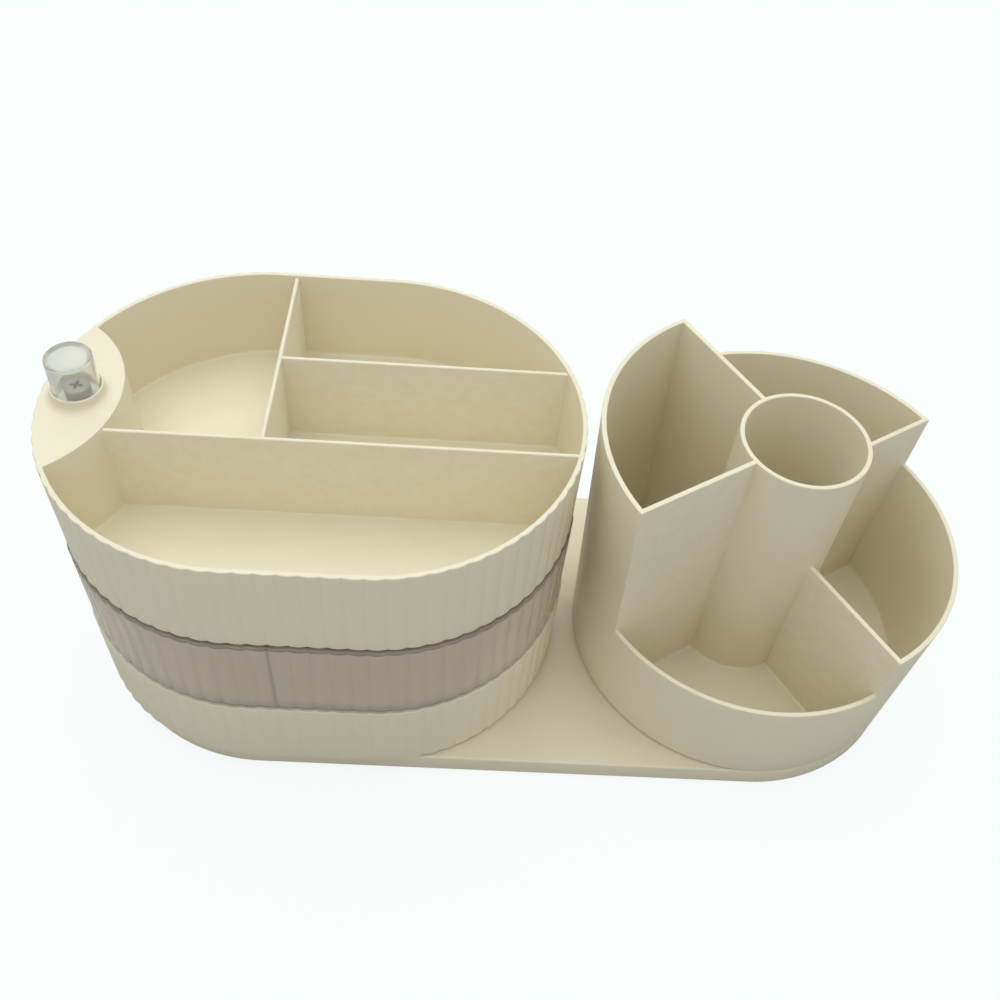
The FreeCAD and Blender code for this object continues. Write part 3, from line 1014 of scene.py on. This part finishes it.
        outer = [outside(shape.foot_round + shape.hold, self.bottom)]
        outer += [outside(inward, self.bottom + up) for inward, up in quarter_round(shape.foot_round, steps)]
        outer += [outside(0, self.bottom + share * (self.rim - self.bottom)) for share in OUTSIDE_SHARES]
        outer += [outside(inward, self.rim - down)
                  for inward, down in reversed(quarter_round(shape.rim_round, steps))]
        outer.append(outside(shape.rim_round + shape.hold, self.rim))
        surface.stack(outer)
        inner = [inside(shape.inner_round + shape.hold, self.rim)]
        inner += [inside(outward, self.rim - down)
                  for outward, down in quarter_round(shape.inner_round, steps)]
        depth = self.rim - shape.inner_round - self.floor - shape.floor_round
        inner += [inside(-shape.inner_draft * share, self.rim - shape.inner_round - share * depth)
                  for share in INSIDE_SHARES]
        inner += [inside(-shape.inner_draft - inward, self.floor + up)
                  for inward, up in reversed(quarter_round(shape.floor_round, steps))]
        inner.append(inside(-shape.inner_draft - shape.floor_round - shape.hold, self.floor))
        surface.stack(inner)
        surface.cap(inner[-1])
        mouth = self.mouth(surface)
        surface.stack(mouth)
        surface.cap(outer[-1], inner[0], mouth[-1])
        holes = [mouth[0]]
        for plan in self.pocket_plans():
            hole, roof = surface.ring(plan, self.bottom), surface.ring(plan, self.rim - shape.column_top)
            surface.strip(hole, roof)
            surface.cap(roof)
            holes.append(hole)
        surface.cap(outer[0], *holes)
        return surface.build(self.body.value + "_moulding")

    def divider(self, name: str, start: Pair, end: Pair) -> bpy.types.Object:
        """Upright plate with a rounded top and a fillet along its foot.

        The section is a closed loop of (offset, height): up one side and, mirrored, down the other. It is
        carried straight from start to end.

        Args:
            name: the piece's name.
            start: x and y of one end of the centre line, inside a wall.
            end: x and y of the other end.

        Returns:
            The linked object.
        """
        shape = self.shape
        top = self.rim - shape.divider_drop
        half_top, half_foot = shape.divider_top / 2, shape.divider_foot / 2
        flare = shape.divider_fillet
        foot = np.array(quarter_round(flare, shape.round_steps)) + (half_foot, self.floor)
        soft = np.array(quarter_round(half_top * shape.divider_crest, shape.round_steps))
        crest = (half_top, top) - soft[:, ::-1]
        side = np.vstack([[(half_foot + flare, self.floor - shape.floor / 2)], foot, crest])
        loop = np.vstack([side, side[::-1] * (-1, 1)])
        begin, finish = np.array(start), np.array(end)
        along = (finish - begin) / np.linalg.norm(finish - begin)
        across = np.array([-along[1], along[0]])
        surface = Surface()
        rings = [surface.loop(np.column_stack([spot + loop[:, :1] * across, loop[:, 1]]))
                 for spot in (begin, finish)]
        surface.strip(*rings)
        for ring in rings:
            surface.cap(ring)
        return surface.build(name)

    def divider_lines(self) -> dict[str, tuple[Pair, Pair]]:
        """Works out the dividers' centre lines, whose ends are buried in the walls.

        Returns:
            Both ends of each line, by its name.
        """
        shape = self.shape
        middle = shape.centre_x
        wall_y = shape.radius - shape.wall * shape.wall_grip

        def wall_x(y: float) -> float:
            """X of the right wall's middle at a y."""
            return middle + (shape.straight / 2 + math.sqrt(wall_y ** 2 - y ** 2))

        if self.dividers is Dividers.NONE:
            return {}
        if self.dividers is Dividers.CROSS:
            x = middle + shape.middle_cross_x
            return {"cross": ((x, -wall_y), (x, wall_y))}
        cross_x, long_y, short_y = middle + shape.top_cross_x, shape.long_y, shape.short_y
        column_x = PIVOT_X + shape.column_reach - shape.column_grip
        return {
            "long": ((column_x, long_y), (wall_x(long_y), long_y)),
            "cross": ((cross_x, long_y), (cross_x, wall_y)),
            "short": ((cross_x, short_y), (wall_x(short_y), short_y)),
        }

    def build(self, finishes: Finishes, slot: str) -> None:
        """Makes the tray's pieces and dresses them; a clear tray is one piece with its divider.

        Args:
            finishes: the materials.
            slot: its material slot.
        """
        moulding = self.shell()
        plates = [self.divider(f"{self.body.value}_{name}_divider", *ends)
                  for name, ends in self.divider_lines().items()]
        if self.dividers is Dividers.CROSS:
            for plate in plates:
                combine(moulding, plate, Cut.JOIN)
            plates = []
        finishes.dress(moulding, self.body, slot, [self.body.value])
        for plate in plates:
            finishes.dress(plate, self.body, slot)


@dataclass(frozen=True)
class CollarShape:
    """Sizes of the flared collar round the pivot; its crest's points are counted in lips from its edge."""

    height: float = 4.1 * MM
    top: float = 8.9 * MM
    foot: float = 11.4 * MM
    bore: float = 8.1 * MM
    lip: float = 0.3 * MM
    crest: tuple[Pair, ...] = ((-1.3, 0.0), (-0.4, -0.4), (0.0, -1.3))
    sides: int = 96
    flare_steps: int = 8


class TopTray(Tray):
    """Upper tray, whose pivot column carries the flared collar."""

    collar = CollarShape()
    above_rim = collar.height

    def mouth(self, surface: Surface) -> list[np.ndarray]:
        """Rings from the rod's bore up through the recess and over the collar to the platform.

        The flare is a quarter circle that leaves the platform level and ends upright.

        Args:
            surface: the surface that they go into.

        Returns:
            The rings in order.
        """
        shape, collar = self.shape, self.collar
        top = self.rim + collar.height
        lip = collar.lip
        profile = [
            (shape.bore, self.bottom),
            (shape.bore, self.rim),
            (collar.bore, self.rim),
            (collar.bore, top - lip),
            (collar.bore + lip, top),
        ]
        profile += [(collar.top + lip * out, top + lip * up) for out, up in collar.crest]
        flare = quarter_round(collar.foot - collar.top, collar.flare_steps)
        profile += [(collar.top + out, self.rim + up) for up, out in flare]
        profile.append((collar.foot + shape.hold, self.rim))
        return [surface.ring(circle(PIVOT_X, radius, collar.sides), height) for radius, height in profile]


@dataclass
class PivotCap:
    """Clear thimble over the screw at the pivot."""

    wall: float = 1.6 * MM
    roof: float = 1.5 * MM
    taper: float = 0.2 * MM
    foot_round: float = 0.1 * MM
    roof_round: float = 0.7 * MM
    bore_round: float = 0.6 * MM
    sides: int = 96

    def build(self, finishes: Finishes) -> None:
        """Revolves the cap: its outside, its flat roof with a soft edge, and its bore.

        Args:
            finishes: the materials.
        """
        low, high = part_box("pivot_cap")
        radius = (high.y - low.y) / 2
        top = radius - self.taper
        cap = revolved("clear_cap", PIVOT_X, [
            (radius - self.wall, low.z, self.foot_round),
            (radius, low.z, self.foot_round),
            (top, high.z, self.roof_round),
            (0.0, high.z, 0),
            (0.0, high.z - self.roof, 0),
            (top - self.wall, high.z - self.roof, self.bore_round),
        ], self.sides)
        finishes.dress(cap, Body.TOP_TRAY, "cap_clear", ["pivot_cap"])


@dataclass
class BaseMoulding:
    """Long base: a thin shell, open below, with a round edge, ribs, bosses and the balls' trough."""

    skin: float = 2.2 * MM
    edge_round: float = 0.8 * MM
    edge_steps: int = 6
    foot_round: float = 0.4 * MM
    foot_steps: int = 3
    outline_points: int = 240
    hold: float = 0.05 * MM
    well_sides: int = 120
    well_round: float = 0.3 * MM
    trough_half_width: float = 4.0 * MM
    ball_circle: float = 45.0 * MM
    rod_seat: float = 2.5 * MM
    rod_radius: float = 4.0 * MM
    stud_radius: float = 3.05 * MM
    rod_boss: float = 8.0 * MM
    rod_boss_lift: float = 3.25 * MM
    hub_boss: float = 9.5 * MM
    hub_boss_lift: float = 3.4 * MM
    rib: float = 1.6 * MM
    rib_lift: float = 1.5 * MM
    rib_y: float = 34.0 * MM
    rib_spacing: float = 84.0 * MM
    rib_margin: float = 1 * MM
    trough_clearance: float = 0.1 * MM
    into_skin: float = 0.9
    lap: float = 0.05 * MM
    pad: float = 16.2 * MM
    foot: float = 13.0 * MM
    foot_corner: float = 2.0 * MM
    foot_edge: float = 0.3 * MM
    pad_points: int = 48
    low: Vector = field(init=False)
    high: Vector = field(init=False)

    def __post_init__(self) -> None:
        """Reads the base's box."""
        self.low, self.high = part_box("base_plate")

    def outline(self, inset: float) -> np.ndarray:
        """Base plan: two half circles about the ends, joined by straight sides.

        A direction turns evenly round; its point is the nearer end's centre plus the radius along it.

        Args:
            inset: distance inside the edge.

        Returns:
            The points as rows of x and y.
        """
        radius = (self.high.y - self.low.y) / 2
        angle = (np.arange(self.outline_points) + 0.5) * FULL_TURN / self.outline_points
        centre = np.where(np.cos(angle) > 0, self.high.x - radius, self.low.x + radius)
        return np.column_stack([centre, np.zeros(len(angle))]) + (radius - inset) * around(angle)

    def shell(self, surface: Surface) -> None:
        """Adds the shell: outer wall, top, trough, bores, bosses and the hollow below.

        Args:
            surface: the surface that it goes into.
        """
        foot, top = self.low.z, self.high.z
        outer = [surface.ring(self.outline(self.foot_round + self.hold), foot)]
        outer += [surface.ring(self.outline(inward), foot + up)
                  for inward, up in quarter_round(self.foot_round, self.foot_steps)]
        outer += [surface.ring(self.outline(inward), top - down)
                  for inward, down in reversed(quarter_round(self.edge_round, self.edge_steps))]
        outer.append(surface.ring(self.outline(self.edge_round + self.hold), top))
        surface.stack(outer)

        def well(centre_x: float, rows: Sequence[Pair]) -> tuple[np.ndarray, np.ndarray]:
            """Turned wall through (radius, height) rows.

            Args:
                centre_x: x of its axis.
                rows: radius and height of each ring.

            Returns:
                Its first ring and its last.
            """
            rings = [surface.ring(circle(centre_x, radius, self.well_sides), height)
                     for radius, height in rows]
            surface.stack(rings)
            return rings[0], rings[-1]

        ceiling = top - self.skin
        trough_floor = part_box("lower_race")[0].z
        near, far = self.ball_circle - self.trough_half_width, self.ball_circle + self.trough_half_width
        soft, shaft = self.well_round, self.rod_radius
        hub_foot, rod_foot, seat = foot + self.hub_boss_lift, foot + self.rod_boss_lift, top - self.rod_seat
        trough_outer, trough_inner = well(HOLDER_X, [
            (far + soft, top), (far, top - soft), (far, trough_floor),
            (near, trough_floor), (near, top - soft), (near - soft, top)])
        bolt_top, bolt_ceiling = well(HOLDER_X, [
            (shaft + soft, top), (shaft, top - soft), (shaft, hub_foot),
            (self.hub_boss, hub_foot), (self.hub_boss, ceiling)])
        ring_inner, ring_outer = well(HOLDER_X, [
            (near - self.skin, ceiling), (near - self.skin, trough_floor - self.skin),
            (far + self.skin, trough_floor - self.skin), (far + self.skin, ceiling)])
        rod_top, rod_ceiling = well(PIVOT_X, [
            (shaft + soft, top), (shaft, top - soft), (shaft, seat), (self.stud_radius, seat),
            (self.stud_radius, rod_foot), (self.rod_boss, rod_foot), (self.rod_boss, ceiling)])
        surface.cap(outer[-1], trough_outer, rod_top)
        surface.cap(trough_inner, bolt_top)
        surface.cap(ring_inner, bolt_ceiling)
        under = surface.ring(self.outline(self.skin), ceiling)
        lip = surface.ring(self.outline(self.skin), foot)
        surface.cap(under, ring_outer, rod_ceiling)
        surface.strip(under, lip)
        surface.cap(outer[0], lip)

    def ribs(self, surface: Surface) -> None:
        """Adds the ribs under the top.

        A rib at a distance d from the holder's axis meets a circle of radius r at sqrt(r^2 - d^2) either
        side; between the trough's two circles it stays under the trough's floor, where it is a hair slimmer
        and runs into its neighbours, so that no two faces lie on each other.

        Args:
            surface: the surface that they go into.
        """
        under_top = self.high.z - self.skin * self.into_skin
        under_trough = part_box("lower_race")[0].z - self.trough_clearance
        radius = (self.high.y - self.low.y) / 2 - self.skin / 2
        circles = (self.ball_circle + self.trough_half_width + self.rib_margin,
                   self.ball_circle - self.trough_half_width - self.rib_margin)

        def stops(offset: float) -> list[float]:
            """Distances along a rib, from the holder's axis, at which it meets the trough.

            Args:
                offset: the rib's distance from the axis.

            Returns:
                The distances in rising order.
            """
            reach = [math.sqrt(size ** 2 - offset ** 2) for size in circles if size > abs(offset)]
            return sorted([-value for value in reach] + reach)

        def pieces(places: Sequence[float]) -> list[tuple[float, float, float, float, float]]:
            """Pieces of a rib, of which every second one runs under the trough.

            Args:
                places: where the rib starts, changes its height and ends.

            Returns:
                Start, end, half width, lowest z and highest z of each piece.
            """
            rows = []
            for index, (start, finish) in enumerate(zip(places, places[1:])):
                top, lap = (under_trough, self.lap) if index % 2 else (under_top, 0.0)
                foot = self.low.z + self.rib_lift + lap
                rows.append((start - lap, finish + lap, self.rib / 2 - lap, foot, top))
            return rows

        for y in (-self.rib_y, self.rib_y):
            end = math.sqrt(radius ** 2 - y ** 2)
            left = self.low.x + radius + self.skin / 2 - end
            right = self.high.x - radius - self.skin / 2 + end
            places = [left, *(HOLDER_X + stop for stop in stops(y)), right]
            for start, finish, side, foot, top in pieces(places):
                surface.block((start, y - side, foot), (finish, y + side, top))
        middle = (self.low.x + self.high.x) / 2
        for step in (-1, 0, 1):
            x = middle + step * self.rib_spacing
            for start, finish, side, foot, top in pieces([-radius, *stops(x - HOLDER_X), radius]):
                surface.block((x - side, start, foot), (x + side, finish, top))

    def foot_centres(self) -> list[Pair]:
        """Works out the plan places of the four feet, from the box of their node.

        Returns:
            X and y of each.
        """
        low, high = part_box("rubber_feet")
        half = self.foot / 2
        return [(x, y) for x in (low.x + half, high.x - half) for y in (low.y + half, high.y - half)]

    def feet(self) -> bpy.types.Object:
        """Builds the four rubber pads, with round corners and a soft lower edge.

        A pad's plan is a square whose corners are quarter circles: the direction turns evenly, and the
        point is the nearest corner's centre plus the corner radius along it.

        Returns:
            The pads as one object.
        """
        surface = Surface()
        compass = around((np.arange(self.pad_points) + 0.5) * FULL_TURN / self.pad_points)
        corners = np.sign(compass) * (self.foot / 2 - self.foot_corner)
        profile = [*quarter_round(self.foot_edge, self.foot_steps), (0, self.low.z)]
        for centre in self.foot_centres():
            rings = [surface.ring(centre + corners + compass * (self.foot_corner - inward), height)
                     for inward, height in profile]
            surface.stack(rings)
            surface.cap(rings[0])
            surface.cap(rings[-1])
        return surface.build("foot_pads")

    def build(self, finishes: Finishes) -> None:
        """Makes and dresses the base and its feet.

        Args:
            finishes: the materials.
        """
        surface = Surface()
        self.shell(surface)
        self.ribs(surface)
        half, top = self.pad / 2, self.high.z - self.skin * self.into_skin
        for x, y in self.foot_centres():
            surface.block((x - half, y - half, self.low.z), (x + half, y + half, top))
        finishes.dress(surface.build("base_moulding"), Body.BASE, "cream_plastic", ["base_plate"])
        finishes.dress(self.feet(), Body.BASE, "foot_rubber", ["rubber_feet"])


@dataclass
class TopScrew:
    """Dark cheese-head screw in the rod's end, seen through the cap."""

    head: float = 3.2 * MM
    shank_radius: float = 2.0 * MM
    shank_round: float = 0.4 * MM
    seat_round: float = 0.2 * MM
    edge_round: float = 0.7 * MM
    sides: int = 64
    slot_length: float = 2.1 * MM
    slot_width: float = 0.6 * MM
    slot_depth: float = 1.3 * MM
    slot_taper: float = 0.25 * MM
    slot_lift: float = 0.2 * MM

    def cross(self, top: float) -> bpy.types.Object:
        """Plus-shaped body that narrows downwards, for the driver's recess.

        Args:
            top: z of the head's face.

        Returns:
            The linked object.
        """
        surface = Surface()
        rings = []
        turns = [np.array([[math.cos(t), math.sin(t)], [-math.sin(t), math.cos(t)]])
                 for t in np.arange(4) * RIGHT_ANGLE]
        for lift, grow in ((self.slot_lift, 0.0), (-self.slot_depth, -self.slot_taper)):
            far, near = self.slot_length + grow, self.slot_width + grow
            arm = np.array([(far, -near), (far, near), (near, near)])
            plan = np.vstack([arm @ turn for turn in turns]) + (PIVOT_X, 0)
            rings.append(surface.ring(plan, top + lift))
        surface.strip(*rings)
        surface.cap(rings[0])
        surface.cap(rings[1])
        return surface.build("driver_cross")

    def build(self, finishes: Finishes) -> None:
        """Turns the head and the shank, and takes the cross out of the head.

        Args:
            finishes: the materials.
        """
        low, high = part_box("top_screw")
        radius = (high.y - low.y) / 2
        seat = high.z - self.head
        screw = revolved("cheese_head_screw", PIVOT_X, [
            (0.0, low.z, 0),
            (self.shank_radius, low.z, self.shank_round),
            (self.shank_radius, seat, 0),
            (radius, seat, self.seat_round),
            (radius, high.z, self.edge_round),
            (0.0, high.z, 0),
        ], self.sides)
        combine(screw, self.cross(high.z), Cut.TAKE_OUT)
        finishes.dress(screw, Body.BASE, "dark_screw", ["top_screw"])


@dataclass
class BrushHolder:
    """Stepped holder: four quarters of different heights round a tube, in one moulding."""

    foot_radius: float = 68.6 * MM
    rim_radius: float = 72.0 * MM
    wall: float = 1.9 * MM
    floor: float = 2.2 * MM
    turn: float = math.radians(31.5)
    tube_radius: float = 23.2 * MM
    tube_wall: float = 1.7 * MM
    tube_sink: float = 0.01 * MM
    tube_sides: int = 160
    hub_radius: float = 10.0 * MM
    hub_height: float = 4.4 * MM
    hub_round: float = 0.4 * MM
    bore: float = 4.05 * MM
    bore_round: float = 0.2 * MM
    tube_foot_round: float = 0.1 * MM
    rim_round: float = 0.4 * MM
    floor_round: float = 1.3 * MM
    hub_floor_share: float = 0.6
    hold: float = 0.05 * MM
    buried: float = 0.1 * MM
    grip: float = 1.1 * MM
    slimmer: float = 0.02 * MM
    steps: int = 5
    arc_points: int = 90
    core_points: int = 40
    foot_curve: tuple[Pair, ...] = ((0.5 * MM, 0.0), (0.12 * MM, 0.25 * MM), (0.0, 0.6 * MM))
    drops: tuple[float, ...] = (22.2 * MM, 0.0, 70.0 * MM, 47.0 * MM)
    names: tuple[str, ...] = ("back", "tall", "front", "right")
    bottom: float = field(init=False)
    top: float = field(init=False)

    def __post_init__(self) -> None:
        """Reads the holder's foot and its highest rim from the tall quarter's box."""
        low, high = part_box("tall_quarter")
        self.bottom = low.z
        self.top = high.z

    def radius(self, height: float) -> float:
        """Outer radius at a height; it widens evenly upwards."""
        share = (height - self.bottom) / (self.top - self.bottom)
        return self.foot_radius + share * (self.rim_radius - self.foot_radius)

    def sector_plan(self, index: int, outer: float, inner: float, sides: Pair, grow: float) -> np.ndarray:
        """Outline of a quarter: outer arc, straight side, inner arc, straight side.

        A side runs parallel to a wall's middle line at a given offset s, and meets a circle of radius r at
        the angle of the wall plus asin(s / r). The growth moves every side outwards.

        Args:
            index: which quarter.
            outer: radius of the outer arc.
            inner: radius of the inner arc.
            sides: offsets of the two straight sides from the walls' middle lines, towards the quarter.
            grow: how far the outline is moved outwards.

        Returns:
            The points, the same number for every growth.
        """
        start = self.turn + index * RIGHT_ANGLE
        end = start + RIGHT_ANGLE
        far, near = outer + grow, inner - grow
        first, last = (side - grow for side in sides)
        arc = np.linspace(start + math.asin(first / far), end - math.asin(last / far), self.arc_points)
        core = np.linspace(end - math.asin(last / near), start + math.asin(first / near), self.core_points)
        return np.vstack([far * around(arc), near * around(core)]) + (HOLDER_X, 0)

    def sector(self, index: int) -> bpy.types.Object:
        """Builds one quarter as a cup; it runs into its taller neighbours' walls and into the tube.

        A quarter is a few hundredths of a millimetre smaller than the tube and than its taller neighbours,
        so that no two faces lie on each other.

        Args:
            index: which quarter.

        Returns:
            The linked object.
        """
        own = self.drops[index]
        slim = (sorted(self.drops).index(own) + 1) * self.slimmer
        top = self.top - own - slim
        bottom = self.bottom + slim
        floor = self.bottom + self.floor + slim
        half = self.wall / 2
        neighbours = (self.drops[index - 1], self.drops[(index + 1) % len(self.drops)])
        taller = [own < other for other in neighbours]
        outline_sides = tuple(-half if wins else half - self.grip for wins in taller)
        room_sides = tuple(half if wins else half - self.buried for wins in taller)
        outline_inner = self.tube_radius - self.grip - self.buried
        room_inner = self.tube_radius - self.buried
        surface = Surface()

        def outer_ring(height: float, inset: float) -> np.ndarray:
            """Ring of the outside.

            Args:
                height: its z.
                inset: how far it is moved inwards.

            Returns:
                The indices of its points.
            """
            radius = self.radius(height) - slim
            plan = self.sector_plan(index, radius, outline_inner, outline_sides, -inset)
            return surface.ring(plan, height)

        def room_ring(height: float, grow: float) -> np.ndarray:
            """Ring of the inside.

            Args:
                height: its z.
                grow: how far it is moved outwards.

            Returns:
                The indices of its points.
            """
            radius = self.radius(height) - self.wall
            plan = self.sector_plan(index, radius, room_inner, room_sides, grow)
            return surface.ring(plan, height)

        rim = quarter_round(self.rim_round, self.steps)
        outside = [outer_ring(bottom + up, inward) for inward, up in self.foot_curve]
        outside += [outer_ring(bottom + share * (top - bottom), 0) for share in OUTSIDE_SHARES]
        outside += [outer_ring(top - down, inward) for inward, down in reversed(rim)]
        outside.append(outer_ring(top, self.rim_round + self.hold))
        surface.stack(outside)
        inside = [room_ring(top, self.rim_round + self.hold)]
        inside += [room_ring(top - down, outward) for outward, down in rim]
        inside += [room_ring(top - share * (top - floor), 0) for share in INSIDE_SHARES]
        inside += [room_ring(floor + up, -inward)
                   for inward, up in reversed(quarter_round(self.floor_round, self.steps))]
        inside.append(room_ring(floor, -self.floor_round - self.hold))
        surface.stack(inside)
        surface.cap(outside[-1], inside[0])
        surface.cap(inside[-1])
        surface.cap(outside[0])
        return surface.build(f"{self.names[index]}_quarter_moulding")

    def tube(self) -> bpy.types.Object:
        """Builds the tube, its floor and the hub round the spindle as one turned piece.

        Returns:
            The linked object.
        """
        foot = self.bottom - self.tube_sink
        floor = self.bottom + self.floor
        hub = self.bottom + self.hub_height
        inner = self.tube_radius - self.tube_wall
        return revolved("brush_tube_moulding", HOLDER_X, [
            (self.bore, foot, self.bore_round),
            (self.tube_radius, foot, self.tube_foot_round),
            (self.tube_radius, self.top, self.rim_round),
            (inner, self.top, self.rim_round),
            (inner, floor, self.floor_round),
            (self.hub_radius, floor, self.floor_round * self.hub_floor_share),
            (self.hub_radius, hub, self.hub_round),
            (self.bore, hub, self.bore_round),
        ], self.tube_sides)

    def build(self, finishes: Finishes) -> None:
        """Makes and dresses the quarters and the tube.

        Args:
            finishes: the materials.
        """
        for index, name in enumerate(self.names):
            finishes.dress(self.sector(index), Body.HOLDER, "cream_plastic", [f"{name}_quarter"])
        finishes.dress(self.tube(), Body.HOLDER, "cream_plastic", ["brush_tube"])


@dataclass(frozen=True)
class Studio:
    """Camera at the photograph's viewpoint, white floor and soft light."""

    camera_place: Triple = (-0.024344, -0.259887, 0.387767)
    yaw: float = 0.061897
    pitch: float = 0.860876
    roll: float = 0.100795
    lens: float = 38.361
    sensor: float = 36
    nearest: float = 0.01
    floor_size: float = 60.0
    white: Triple = (0.95, 0.99, 0.985)
    floor_color: Triple = (0.57, 0.57, 0.56)
    floor_roughness: float = 0.9
    floor_glow: float = 0.8
    floor_glow_strength: float = 1.12
    shadow_reach: Pair = (0.5, 1.6)
    ambient: float = 0.57
    light_aim: Triple = (0, 0, 0.06)
    overhead_power: float = 10.5
    overhead_color: Triple = (0.94, 1.0, 0.97)
    overhead_place: Triple = (-0.1, 0.3, 1.3)
    overhead_size: float = 1.4
    fill_power: float = 0.5
    fill_place: Triple = (-0.5, -1.2, 0.9)
    fill_size: float = 1.0

    def camera(self) -> None:
        """Places the camera from its yaw, pitch and roll."""
        flat = math.cos(self.pitch)
        forward = Vector((math.sin(self.yaw) * flat, math.cos(self.yaw) * flat, -math.sin(self.pitch)))
        level = Vector((math.cos(self.yaw), -math.sin(self.yaw), 0))
        upward = level.cross(forward)
        right = level * math.cos(self.roll) + upward * math.sin(self.roll)
        up = upward * math.cos(self.roll) - level * math.sin(self.roll)
        data = bpy.data.cameras.new("camera")
        data.lens = self.lens
        data.sensor_width = self.sensor
        data.clip_start = self.nearest
        camera = linked("camera", data)
        turn = Matrix((right, up, -forward)).transposed().to_4x4()
        camera.matrix_world = Matrix.Translation(self.camera_place) @ turn
        bpy.context.scene.camera = camera

    def floor(self) -> None:
        """Lays the white floor.

        To the camera the floor is mostly a white glow, so that it keeps the shadow but no grey. Further out
        than the shadow reaches, the glow's share rises to one and its strength to the surroundings'.
        """
        half = self.floor_size / 2
        corners = [(-half, -half, 0), (half, -half, 0), (half, half, 0), (-half, half, 0)]
        mesh = bpy.data.meshes.new("floor")
        mesh.from_pydata(corners, [], [(0, 1, 2, 3)])
        floor = linked("floor", mesh)
        material, sheet, shader = new_material("floor_white")
        sheet.fill(shader, {
            "Base Color": (*self.floor_color, 1), "Roughness": self.floor_roughness,
            "Specular IOR Level": 0.0,
        })
        distance = sheet.add("ShaderNodeVectorMath", {0: sheet.place()}, operation="LENGTH").outputs["Value"]
        near, far = self.shadow_reach
        share, strength = (
            sheet.add("ShaderNodeMapRange", {
                "Value": distance, "From Min": near, "From Max": far, "To Min": start, "To Max": 1.0,
            }, interpolation_type="SMOOTHSTEP").outputs["Result"]
            for start in (self.floor_glow, self.floor_glow_strength))
        glow = sheet.add("ShaderNodeEmission", {"Color": (*self.white, 1), "Strength": strength})
        seen = sheet.add("ShaderNodeLightPath").outputs["Is Camera Ray"]
        mix_shaders(sheet, sheet.maths("MULTIPLY", seen, share), shader.outputs["BSDF"],
                    glow.outputs["Emission"])
        mesh.materials.append(material)

    def world(self) -> None:
        """White surroundings: full white to the camera, gloss and glass, softer as light."""
        world = bpy.data.worlds.new("studio")
        bpy.context.scene.world = world
        world.use_nodes = True
        sheet = NodeSheet(world.node_tree)
        path = sheet.add("ShaderNodeLightPath").outputs
        clear = sheet.maths("MAXIMUM", path["Is Camera Ray"], path["Is Transmission Ray"])
        seen = sheet.maths("MAXIMUM", clear, path["Is Glossy Ray"])
        mixed = sheet.add("ShaderNodeMix", {"Factor": seen, "A": self.ambient, "B": 1.0}, data_type="FLOAT")
        sheet.fill(world.node_tree.nodes["Background"], {
            "Color": (*self.white, 1), "Strength": mixed.outputs["Result"]})

    def light(self, name: str, place: Triple, size: float, power: float, color: Triple = (1, 1, 1)) -> None:
        """Places a square soft light that looks at the organizer.

        Args:
            name: the light's name.
            place: where it hangs.
            size: its side.
            power: its power in watts.
            color: its colour.
        """
        data = bpy.data.lights.new(name, "AREA")
        data.shape = "SQUARE"
        data.size = size
        data.energy = power
        data.color = color
        lamp = linked(name, data)
        lamp.location = place
        lamp.rotation_euler = (Vector(self.light_aim) - Vector(place)).to_track_quat("-Z", "Y").to_euler()

    def build(self) -> None:
        """Sets up the whole studio."""
        self.camera()
        self.floor()
        self.world()
        self.light("overhead", self.overhead_place, self.overhead_size, self.overhead_power,
                   self.overhead_color)
        self.light("front_fill", self.fill_place, self.fill_size, self.fill_power)
        bpy.context.scene.view_settings.view_transform = "Standard"


def main() -> None:
    """Builds the studio and the organizer."""
    logging.basicConfig(level=logging.INFO, format="%(name)s: %(message)s")
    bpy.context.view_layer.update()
    Studio().build()
    finishes = Finishes()
    finishes.dress_nodes()
    shape = TrayShape()
    Tray(shape, Body.BOTTOM_TRAY, Dividers.NONE).build(finishes, "cream_plastic")
    Tray(shape, Body.MIDDLE_TRAY, Dividers.CROSS).build(finishes, "clear_plastic")
    TopTray(shape, Body.TOP_TRAY, Dividers.THREE).build(finishes, "cream_plastic")
    BaseMoulding().build(finishes)
    TopScrew().build(finishes)
    PivotCap().build(finishes)
    BrushHolder().build(finishes)


if __name__ == "__main__":
    main()
